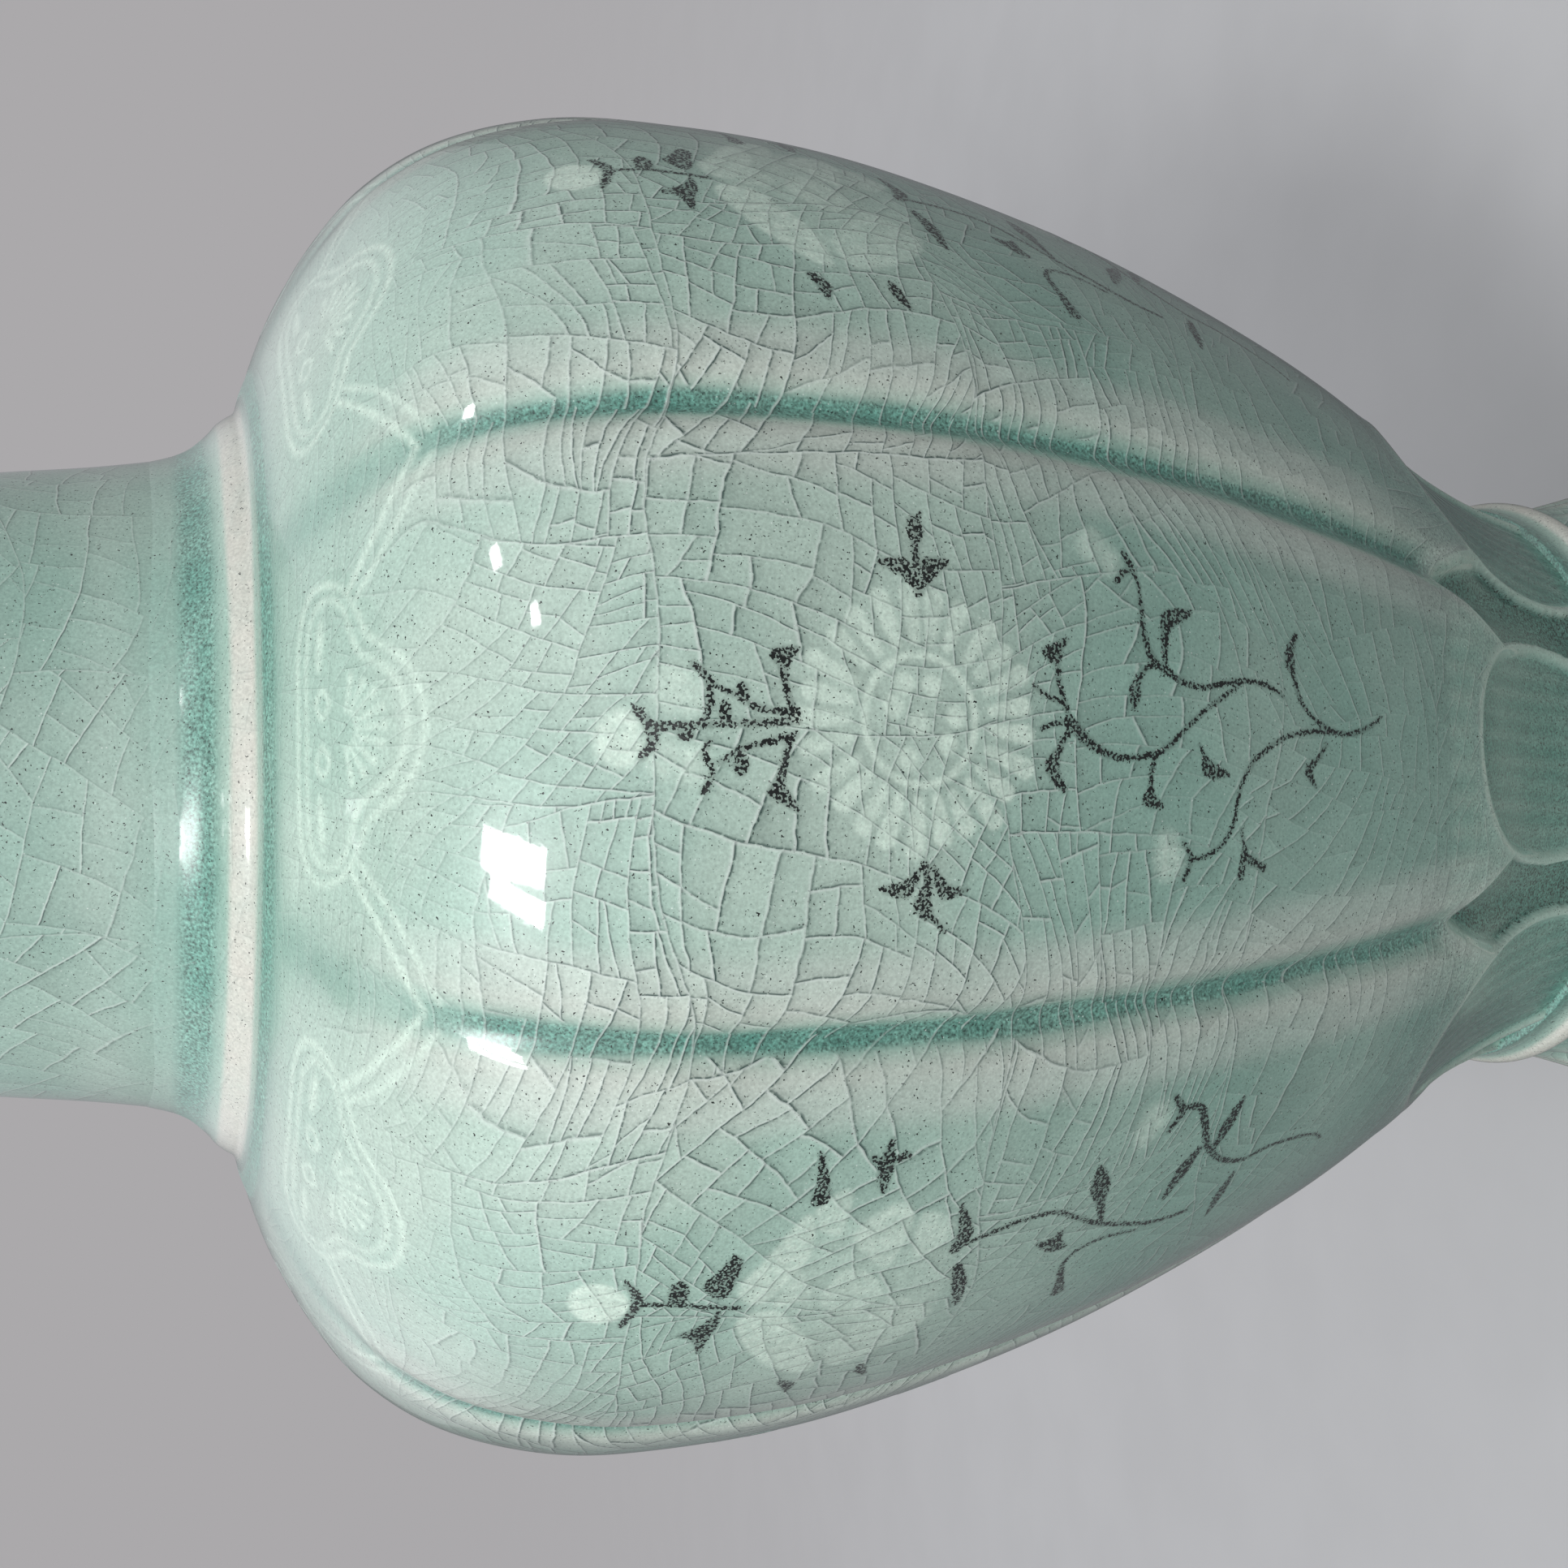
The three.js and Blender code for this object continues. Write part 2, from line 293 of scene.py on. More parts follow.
@dataclass(frozen=True)
class Stroke:
    """A line drawn with a tool whose width changes."""

    points: Sequence[Point]
    widths: Sequence[float]
    slip: Slip = Slip.BLACK
    strength: float = 1.0
    closed: bool = False
    blur: float = 1.0

    def outline(self) -> tuple[Array, Array]:
        """The chain of points and widths that the line is made of.

        Returns:
            The points, and the width at each.
        """
        curve = through(self.points, 5 * len(self.points), self.closed)
        places = np.linspace(0.0, 1.0, len(self.widths))
        return curve, np.interp(np.linspace(0.0, 1.0, len(curve)), places, self.widths)

    def distance(self, x: Array, y: Array) -> Array:
        """The distance to the line's edge, below zero inside it."""
        return outline_distance(x, y, *self.outline())


@dataclass(frozen=True)
class Pocket:
    """A closed shape that is filled with slip."""

    points: Sequence[Point]
    slip: Slip = Slip.BLACK
    strength: float = 1.0
    blur: float = 1.0

    def outline(self) -> tuple[Array, Array]:
        """The closed chain of points round the shape, with no width."""
        curve = through(self.points, 4 * len(self.points), closed=True)
        return curve, np.zeros(len(curve))

    def distance(self, x: Array, y: Array) -> Array:
        """The distance to the shape's edge, below zero inside it."""
        gap = outline_distance(x, y, *self.outline())
        return np.where(is_inside(x, y, self.outline()[0]), -gap, gap)


Mark = Stroke | Pocket


def oval(
    centre: Point, across: float, along: float, slip: Slip, strength: float, lean: float = 0.0, blur: float = 1.0
) -> Pocket:
    """A filled oval.

    Args:
        centre: Where its middle lies.
        across: Half its width.
        along: Half its length.
        slip: The clay that fills it.
        strength: How strongly the clay shows.
        lean: How far it is turned, in radians.
        blur: How soft its edge is.

    Returns:
        The oval's shape.
    """
    turns = np.linspace(0.0, 2.0 * math.pi, 10, endpoint=False)
    x, y = across * np.cos(turns), along * np.sin(turns)
    points = zip(
        centre[0] + x * math.cos(lean) - y * math.sin(lean), centre[1] + x * math.sin(lean) + y * math.cos(lean)
    )
    return Pocket(list(points), slip, strength, blur)


def ovals(slip: Slip, *rows: Sequence[float]) -> list[Mark]:
    """Upright ovals, from rows of x, y, half width, half length, strength and blur."""
    return [oval((x, y), across, along, slip, strength, blur=blur) for x, y, across, along, strength, blur in rows]


def evenly(points: Sequence[Point], width: float, slip: Slip = Slip.BLACK, strength: float = 1.0) -> Stroke:
    """A line of one width."""
    return Stroke(points, (width, width), slip, strength)


def mirrored(marks: Sequence[Mark]) -> list[Mark]:
    """The same marks on the other side of the lobe's middle."""
    return [replace(mark, points=[(-x, y) for x, y in mark.points]) for mark in marks]


def clay_depth(marks: Sequence[Mark], slip: Slip, x: Array, y: Array, softness: float) -> Array:
    """How strongly one clay shows at each point of a drawing.

    Args:
        marks: The drawing.
        slip: The clay.
        x: Where the points lie, across.
        y: Where they lie, along.
        softness: How wide a mark's edge is.

    Returns:
        From 0 for none to 1 for clay at its full depth.
    """
    depth = np.zeros(x.shape)
    for mark in marks:
        if mark.slip is not slip:
            continue
        curve, widths = mark.outline()
        edge = softness * mark.blur
        spare = edge + float(widths.max())
        low, high = curve.min(axis=0) - spare, curve.max(axis=0) + spare
        near = (x > low[0]) & (x < high[0]) & (y > low[1]) & (y < high[1])
        if near.any():
            gap = mark.distance(x[near], y[near])
            depth[near] = np.maximum(depth[near], mark.strength * np.clip(0.5 - gap / edge, 0.0, 1.0))
    return depth


def metres_mesh(
    name: str,
    points: Array,
    faces: Array,
    corners: Array,
    glaze: Glaze,
    fans: Sequence[Sequence[int]] = (),
    normals: Array | None = None,
) -> bpy.types.Object:
    """Makes a smooth Blender object from arrays.

    Args:
        name: The object's name.
        points: Its points in millimetres, one a row.
        faces: Its four-cornered faces, as rows of point numbers.
        corners: The crackle coordinates of each corner of those faces.
        glaze: Values at each point, by name, for the glaze to read.
        fans: Three-cornered faces that close its ends.
        normals: The directions in which its points face, where they aren't those of its faces.

    Returns:
        The object, linked to the scene.
    """
    mesh = bpy.data.meshes.new(name)
    mesh.vertices.add(len(points))
    mesh.vertices.foreach_set("co", (points * MM).astype(np.float32).ravel())
    loops = np.concatenate([faces.ravel(), np.ravel(fans)]).astype(np.int32)
    mesh.loops.add(len(loops))
    mesh.loops.foreach_set("vertex_index", loops)
    starts = np.concatenate([np.arange(len(faces)) * 4, len(faces) * 4 + np.arange(len(fans)) * 3])
    mesh.polygons.add(len(starts))
    mesh.polygons.foreach_set("loop_start", starts.astype(np.int32))
    mesh.polygons.foreach_set("use_smooth", np.ones(len(starts), dtype=bool))
    flat = np.zeros((len(loops), 2), dtype=np.float32)
    flat[: len(faces) * 4] = corners.reshape(-1, 2)
    mesh.uv_layers.new(name="crackle").data.foreach_set("uv", flat.ravel())
    for key, values in glaze.items():
        attribute = mesh.attributes.new(key, "FLOAT", "POINT")
        attribute.data.foreach_set("value", values.astype(np.float32).ravel())
    mesh.update(calc_edges=True)
    mesh.validate()
    if normals is not None:
        mesh.normals_split_custom_set_from_vertices(normals.tolist())
    made = bpy.data.objects.new(name, mesh)
    bpy.context.scene.collection.objects.link(made)
    return made


def turned_mesh(
    name: str, rings: Array, across: Array, along: Array, glaze: Glaze, poles: Sequence[float]
) -> bpy.types.Object:
    """Makes a closed turned shape from rings of points.

    Args:
        name: The object's name.
        rings: The rings in order, round the section.
        across: The crackle coordinate of each column, and once more for the first.
        along: The crackle coordinate of each ring.
        glaze: Values for the points of the rings, which are held between 0 and 1.
        poles: The heights of the points on the axis that close the first and the last ring. Without
            them the last ring joins the first.

    Returns:
        The object.
    """
    count, columns, _ = rings.shape
    number = np.arange(count * columns).reshape(count, columns)
    points = rings.reshape(-1, 3)
    fans = ()
    if poles:
        lower, upper = number[:-1], number[1:]
        points = np.vstack([points, [[0.0, 0.0, height] for height in poles]])
        first, last = number[0], number[-1]
        bottom = np.stack([np.full(columns, len(points) - 2), np.roll(first, -1), first], axis=-1)
        top = np.stack([last, np.roll(last, -1), np.full(columns, len(points) - 1)], axis=-1)
        fans = np.vstack([bottom, top])
    else:
        lower, upper = number, np.roll(number, -1, axis=0)
        along = np.append(along, along[-1] + 1.0)
    faces = np.stack([lower, np.roll(lower, -1, 1), np.roll(upper, -1, 1), upper], axis=-1).reshape(-1, 4)
    left, right, low, high = np.broadcast_arrays(across[:-1], across[1:], along[:-1, None], along[1:, None])
    corners = np.stack([left, low, right, low, right, high, left, high], axis=-1)
    held = {key: np.clip(np.broadcast_to(values, rings.shape[:2]), 0.0, 1.0) for key, values in glaze.items()}
    held = {key: np.append(values, [0.0] * len(poles)) for key, values in held.items()}
    return metres_mesh(name, points, faces, corners, held, fans)


def ride_as(piece: bpy.types.Object, finish: "Finish", *nodes: str) -> None:
    """Gives a piece its finish and its place on the vase's one body.

    Args:
        piece: The piece.
        finish: Its finish.
        nodes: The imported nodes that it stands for.
    """
    piece.data.materials.append(finish.material())
    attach(piece, "root")
    if nodes:
        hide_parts(*nodes)
    LOG.info("%s: %d faces", piece.name, len(piece.data.polygons))


def glazed(
    node: str, rings: Array, across: Array, along: Array, glaze: Glaze, poles: Sequence[float] = ()
) -> None:
    """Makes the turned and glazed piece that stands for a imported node."""
    ride_as(turned_mesh(f"{node}_glazed", rings, across, along, glaze, poles), GLAZE, node)


def linear_light(value: float) -> float:
    """One screen value between 0 and 255, as linear light."""
    share = value / 255.0
    return share / 12.92 if share <= 0.04045 else ((share + 0.055) / 1.055) ** 2.4


def srgb(red: float, green: float, blue: float) -> Colour:
    """A colour from screen values between 0 and 255, as the shader wants it."""
    return (linear_light(red), linear_light(green), linear_light(blue), 1.0)


@dataclass(frozen=True)
class Wire:
    """A number or a colour in a node tree. Each sum on it adds a node."""

    sketch: "NodeSketch"
    socket: bpy.types.NodeSocket

    def do(self, operation: str, *values: "Value", clamp: bool = False) -> "Wire":
        """A sum that starts with this number."""
        return self.sketch.math(operation, self, *values, clamp=clamp)

    def __add__(self, other: "Value") -> "Wire":
        """This and another."""
        return self.do("ADD", other)

    def __sub__(self, other: "Value") -> "Wire":
        """This less another."""
        return self.do("SUBTRACT", other)

    def __mul__(self, other: "Value") -> "Wire":
        """This times another."""
        return self.do("MULTIPLY", other)

    def __truediv__(self, other: "Value") -> "Wire":
        """This over another."""
        return self.do("DIVIDE", other)

    def fit(self, times: "Value", plus: "Value") -> "Wire":
        """This number multiplied and moved."""
        return self.do("MULTIPLY_ADD", times, plus)

    def most(self, other: "Value") -> "Wire":
        """The larger of this and another."""
        return self.do("MAXIMUM", other)

    def step(self, low: "Value", high: "Value", to_low: "Value" = 0.0, to_high: "Value" = 1.0) -> "Wire":
        """A smooth step, as this number goes from low to high."""
        settings = {"Value": self, "From Min": low, "From Max": high, "To Min": to_low, "To Max": to_high}
        return self.sketch.drawn("ShaderNodeMapRange", settings, "Result", interpolation_type="SMOOTHSTEP")


class Arrow(Wire):
    """A vector in a node tree."""

    def do(self, operation: str, *values: "Value", clamp: bool = False) -> "Arrow":
        """A sum that starts with this vector."""
        return self.sketch.vector(operation, self, *values)

    def scaled(self, by: "Value") -> "Arrow":
        """This vector, longer or shorter."""
        return self.sketch.vector("SCALE", self, scale=by)

    def dot(self, other: "Value") -> Wire:
        """How far this vector reaches along another."""
        return Wire(self.sketch, self.do("DOT_PRODUCT", other).socket)

    def split(self) -> tuple[Wire, ...]:
        """The three parts of this vector."""
        made = self.sketch.node("ShaderNodeSeparateXYZ", {"Vector": self})
        return tuple(Wire(self.sketch, part) for part in made.outputs)

    def chances(self) -> tuple[Wire, ...]:
        """Three random numbers that belong to this vector."""
        made = self.sketch.drawn("ShaderNodeTexWhiteNoise", {"Vector": self}, "Color", noise_dimensions="3D")
        return Arrow(self.sketch, made.socket).split()


Value = Wire | float | Place | Colour


class NodeSketch:
    """Draws a material's nodes with short calls."""

    def __init__(self, tree: bpy.types.NodeTree) -> None:
        """Starts on a material's tree."""
        self.tree = tree

    def node(self, kind: str, inputs: dict[str | int, Value] | None = None, **settings: object) -> bpy.types.Node:
        """Adds a node.

        Args:
            kind: Blender's name for it.
            inputs: What its inputs are fed with, by name or number.
            settings: Its properties.

        Returns:
            The node.
        """
        made = self.tree.nodes.new(kind)
        for key, value in settings.items():
            setattr(made, key, value)
        for key, value in (inputs or {}).items():
            self.feed(made.inputs[key], value)
        return made

    def drawn(self, kind: str, inputs: dict[str | int, Value], output: str | int, **settings: object) -> Wire:
        """Adds a node and gives one of its outputs."""
        return Wire(self, self.node(kind, inputs, **settings).outputs[output])

    def feed(self, socket: bpy.types.NodeSocket, value: Value) -> None:
        """Links an input to a wire, or sets its value.

        Args:
            socket: The input.
            value: What it is fed with.
        """
        if isinstance(value, Wire):
            self.tree.links.new(value.socket, socket)
        else:
            socket.default_value = value

    def math(self, operation: str, *values: Value, clamp: bool = False) -> Wire:
        """A sum on numbers."""
        return self.drawn("ShaderNodeMath", dict(enumerate(values)), 0, operation=operation, use_clamp=clamp)

    def vector(self, operation: str, *values: Value, scale: Value | None = None) -> Arrow:
        """A sum on vectors.

        Args:
            operation: Which sum.
            values: The vectors.
            scale: How much longer they get, where the sum is a scaling.

        Returns:
            The vector, or the number where the sum makes one.
        """
        inputs = dict(enumerate(values)) if scale is None else {0: values[0], "Scale": scale}
        output = "Value" if operation in ("DOT_PRODUCT", "LENGTH") else 0
        return Arrow(self, self.drawn("ShaderNodeVectorMath", inputs, output, operation=operation).socket)

    def mix(self, share: Value, first: Value, second: Value, blend: str = "MIX") -> Wire:
        """A mixture of two colours."""
        inputs = {0: share, 6: first, 7: second}
        return self.drawn("ShaderNodeMix", inputs, 2, data_type="RGBA", blend_type=blend)

    def noise(
        self, place: Arrow, size: float, detail: float = 2.0, roughness: float = 0.5, output: str = "Fac"
    ) -> Wire:
        """A soft noise whose blots are about a size across, in the place's own units."""
        inputs = {"Vector": place, "Scale": 1.0 / size, "Detail": detail, "Roughness": roughness}
        return self.drawn("ShaderNodeTexNoise", inputs, output)

    def joined(self, *parts: Value) -> Arrow:
        """A vector from its parts."""
        return Arrow(self, self.drawn("ShaderNodeCombineXYZ", dict(enumerate(parts)), 0).socket)

    def turned(self, vector: Value, angle: Value) -> Arrow:
        """A vector turned about Z."""
        inputs = {"Vector": vector, "Angle": angle}
        return Arrow(self, self.drawn("ShaderNodeVectorRotate", inputs, 0, rotation_type="Z_AXIS").socket)

    def place(self, output: str = "Object") -> Arrow:
        """Where the point lies."""
        return Arrow(self, self.drawn("ShaderNodeTexCoord", {}, output).socket)

    def value(self, name: str) -> Wire:
        """A value that the mesh holds at its points."""
        return self.drawn("ShaderNodeAttribute", {}, "Fac", attribute_name=name)

    def seen(self) -> Wire:
        """One where the camera looks straight at the surface, and otherwise zero."""
        return self.drawn("ShaderNodeLightPath", {}, "Is Camera Ray")


@dataclass(frozen=True)
class Plate:
    """A plate of the crackle with a point in it, its two corners and numbers of its own."""

    here: Arrow
    low: Arrow
    high: Arrow
    key: Arrow


@dataclass(frozen=True)
class Tile:
    """What the plates of one tile share.

    That is where their light comes from, how close they lie to a groove, how much smaller than usual
    they are, and how strongly a crack along the grooves shows.
    """

    aim: Arrow
    crowded: Wire
    closer: Wire
    groove: Wire


@dataclass(frozen=True)
class Crackle:
    """The crackle of the glaze: long cracks first, then shorter ones that end on them, down to small plates.

    The long cracks bound tiles. Each tile is turned its own way, and the square that is split up
    reaches half_start of the tile's two sides from its middle. A sway is the size of a noise, its
    detail, and how far it bends the cracks. A strength, a cut's share of a plate and the weight of a
    plate's longer side are each a least value and what chance adds to it. Each crack has a painted
    shadow on one side and a painted highlight on its lit side, and each plate gets painted shade by
    how far it leans towards the light.
    """

    tile: Point = (23.56, 26.0)
    around: int = 8
    splits: int = 8
    least_plate: float = 2.8
    more_plate: float = 1.9
    crowding: float = 1.3
    roominess: float = 2.4
    sways: Sequence[Place] = ((22.0, 0.0, 13.0), (3.0, 1.0, 0.5), (0.8, 0.0, 0.1))
    slant: float = 0.6
    turns: Point = (-0.25, 0.8)
    aim: Point = (0.4, -0.92)
    half_start: float = 0.34
    edge_strength: float = 0.7
    strength: Point = (0.65, 0.4)
    cut_share: Point = (0.35, 0.3)
    longer_side: Point = (0.8, 0.5)
    long_plates: float = 0.5
    groove_near: Point = (10.0, 20.0)
    low_reach: float = 105.0
    line_reach: Point = (0.23, 0.08)
    shade_reach: float = 0.8
    shade_depth: float = 0.24
    glow_reach: Point = (0.06, 0.26)
    low_heights: Point = (70.0, 130.0)
    fade_size: float = 18.0
    rub_size: float = 0.4
    calm_rub: float = 0.85
    white_rub: float = 0.55

    def draw(self, sketch: NodeSketch, place: Arrow) -> tuple[Wire, Wire, Wire]:
        """Draws the crackle.

        Args:
            sketch: The material's tree.
            place: Where the point lies, in millimetres.

        Returns:
            How dark a crack and its painted shadow are here, how bright the painted highlight on its
            lit side is, and the plate's painted shade by how far this side of it leans towards the light,
            with a random part for each plate.
        """
        across, along, _ = self.bent(sketch, place).split()
        row = (along / self.tile[1]).do("FLOOR")
        shift = sketch.joined(row, 0.5, 0.5).chances()[0] * self.tile[0]
        here = sketch.joined(across + shift, along)
        column = (here.split()[0] / self.tile[0]).do("FLOOR")
        low = sketch.joined(column, row) * (*self.tile, 0.0)
        key = sketch.joined(column.do("FLOORED_MODULO", float(self.around)), row, 0.5)
        plate = Plate(here, low, low + (*self.tile, 0.0), key)
        groove = sketch.value("pool").step(0.15, 0.5, 1.0, 0.0)
        dark, light = self.tile_edges(plate, groove)
        plate, tile = self.tile_start(plate, shift, groove)
        for _ in range(self.splits):
            plate, line, glow = self.split_plate(plate, tile)
            dark, light = dark.most(line), light.most(glow)
        middle = (plate.low + plate.high).scaled(0.5)
        # Painted shade: each plate is lighter on the side that faces the light, and a random part per plate
        # follows
        plate_shade_and_tone = ((plate.here - middle) / (plate.high - plate.low)).dot(tile.aim)
        lot = plate.key.chances()[2].fit(0.6, -0.3)
        return self.faded_cracks(place, dark, light, plate_shade_and_tone + lot)

    def bent(self, sketch: NodeSketch, place: Arrow) -> Arrow:
        """Bends the crackle's own coordinates, so that its straight lines become arcs.

        Args:
            sketch: The material's tree.
            place: Where the point lies, in millimetres.

        Returns:
            The point in the bent coordinates.
        """
        here = Arrow(sketch, sketch.drawn("ShaderNodeUVMap", {}, "UV", uv_map="crackle").socket)
        for size, detail, reach in self.sways:
            sway = Arrow(sketch, sketch.noise(place, size, detail, output="Color").socket)
            here = here + (sway - (0.5, 0.5, 0.5)).scaled(reach)
        return here

    def tile_edges(self, plate: Plate, groove: Wire) -> tuple[Wire, Wire]:
        """Draws the longest cracks, which bound a tile.

        Args:
            plate: The whole tile.
            groove: How strongly a crack along the grooves shows.

        Returns:
            How dark they and their painted shadows are here, and how bright the painted highlight on
            their lit side is.
        """
        below, above = plate.here - plate.low, plate.high - plate.here
        gaps = below.do("MINIMUM", above).split()
        sides = (above - below).do("SIGN").split()
        lines = [
            self.crack(gap, side * -facing, strength)
            for gap, side, facing, strength in zip(gaps, sides, self.aim, (groove, self.edge_strength))
        ]
        return lines[0][0].most(lines[1][0]), lines[0][1].most(lines[1][1])

    def tile_start(self, plate: Plate, shift: Wire, groove: Wire) -> tuple[Plate, Tile]:
        """Turns a tile its own way, and settles how finely it is split.

        Args:
            plate: The whole tile.
            shift: How far the tile's row is shifted round the vase.
            groove: How strongly a crack along the grooves shows.

        Returns:
            The square that is split, and what its plates share.
        """
        sketch = shift.sketch
        centre = (plate.low + plate.high).scaled(0.5)
        across, along, _ = centre.split()
        off = (across - shift).do("PINGPONG", self.tile[0])
        low_down = along.step(0.0, self.low_reach, 1.0, 0.0)
        crowded = off.step(*self.groove_near) * low_down.step(0.0, 0.5, 1.0, 0.2)
        closer = crowded.fit(self.crowding, low_down * -self.roominess)
        turn = plate.key.chances()[1].fit(self.turns[1] - self.turns[0], self.turns[0])
        turn = turn * sketch.math("SUBTRACT", 1.0, crowded)
        reach = sum(self.tile) * self.half_start
        corners = sketch.joined(-reach, -reach), sketch.joined(reach, reach)
        started = Plate(sketch.turned(plate.here - centre, turn), *corners, plate.key)
        return started, Tile(sketch.turned((*self.aim, 0.0), turn), crowded, closer, groove)

    def split_plate(self, plate: Plate, tile: Tile) -> tuple[Plate, Wire, Wire]:
        """Splits a plate in two by a slanting crack across its longer side, if it is still a large one.

        Args:
            plate: The plate.
            tile: What the tile's plates share.

        Returns:
            The half that the point is in, slanted with the crack, how dark the crack and its painted
            shadow are here, and how bright the painted highlight on its lit side is.
        """
        sketch = plate.key.sketch
        chance = plate.key.chances()
        size = plate.high - plate.low
        middle = (plate.low + plate.high).scaled(0.5)
        wide, tall, _ = size.split()
        least, more = self.longer_side
        bias = tile.crowded.fit(-self.long_plates, chance[1].fit(more, least))
        across = (wide * bias).do("GREATER_THAN", tall)
        limit = chance[2].fit(self.more_plate, self.least_plate) - tile.closer
        real = wide.most(tall).do("GREATER_THAN", limit)
        choice = sketch.joined(across, sketch.math("SUBTRACT", 1.0, across)).scaled(real)
        off = (plate.here - middle).split()
        lean = (chance[2] * LEAN_SHUFFLE).do("FRACT").fit(self.slant, -self.slant / 2.0)
        here = plate.here + sketch.joined(off[1], off[0]) * choice.scaled(lean)
        least, more = self.cut_share
        cut = plate.low + size.scaled(chance[0].fit(more, least))
        beyond = here - cut
        sign = beyond.do("SIGN")
        over = sign.most((0.0, 0.0, 0.0)) * choice
        low = plate.low + over * (cut - plate.low)
        high = plate.high + (choice - over) * (cut - plate.high)
        key = sketch.joined(*chance).scaled(KEY_SHUFFLE) + over.scaled(HALF_SHUFFLE)
        gap = sketch.math("SUBTRACT", 1.0, real).fit(self.tile[0], beyond.do("ABSOLUTE").dot(choice))
        facing = (sign * choice).dot(tile.aim) * -1.0
        least, more = self.strength
        strength = chance[0].fit(more, least) * across.fit(tile.groove - 1.0, 1.0)
        return Plate(here, low, high, key), *self.crack(gap, facing, strength)

    def crack(self, gap: Wire, side: Wire, strength: Value) -> tuple[Wire, Wire]:
        """Draws one crack.

        Args:
            gap: How far the crack is, in millimetres.
            side: Above zero where the point lies on the crack's lit side.
            strength: How strongly the crack shows.

        Returns:
            How dark the crack and its painted shadow are, and how bright the painted highlight on its
            lit side is.
        """
        lit = side.step(-0.1, 0.3)
        line = gap.step(0.02, lit.step(0.0, 1.0, *self.line_reach), 1.0, 0.0)
        # A painted shadow beside the crack on its unlit side, and a painted highlight on its lit side
        shade = gap.step(0.0, self.shade_reach, lit.step(0.0, 1.0, self.shade_depth, 0.0), 0.0)
        glow = gap.step(*self.glow_reach, 1.0, 0.0) * lit
        return line.most(shade) * strength, glow * strength

    def faded_cracks(self, place: Arrow, dark: Wire, light: Wire, plate_shade_and_tone: Wire) -> tuple[Wire, Wire, Wire]:
        """Fades the cracks out in places, and makes them pale low on the body.

        Args:
            place: Where the point lies, in millimetres.
            dark: How dark a crack and its painted shadow are here.
            light: How bright the painted highlight on its lit side is.
            plate_shade_and_tone: The plate's painted shade, by how far it leans towards the light, with a random
                part.

        Returns:
            The three values, faded.
        """
        sketch = place.sketch
        low = place.split()[2].step(*self.low_heights, 1.0, 0.0)
        fade = sketch.noise(place, self.fade_size, 2.0).step(0.3, 0.5, 0.5, 1.0)
        rub = sketch.noise(place, self.rub_size, 1.0).step(0.36, 0.5, 0.35, 1.0)
        some = fade * sketch.value("calm").fit(-self.calm_rub, 1.0)
        some = some * sketch.value("white").fit(-self.white_rub, 1.0)
        dark = dark * some * (rub * low.step(0.0, 1.0, 1.0, 0.6))
        light = light * (some * low.step(0.0, 1.0, 0.9, 0.6))
        return dark, light, plate_shade_and_tone * some


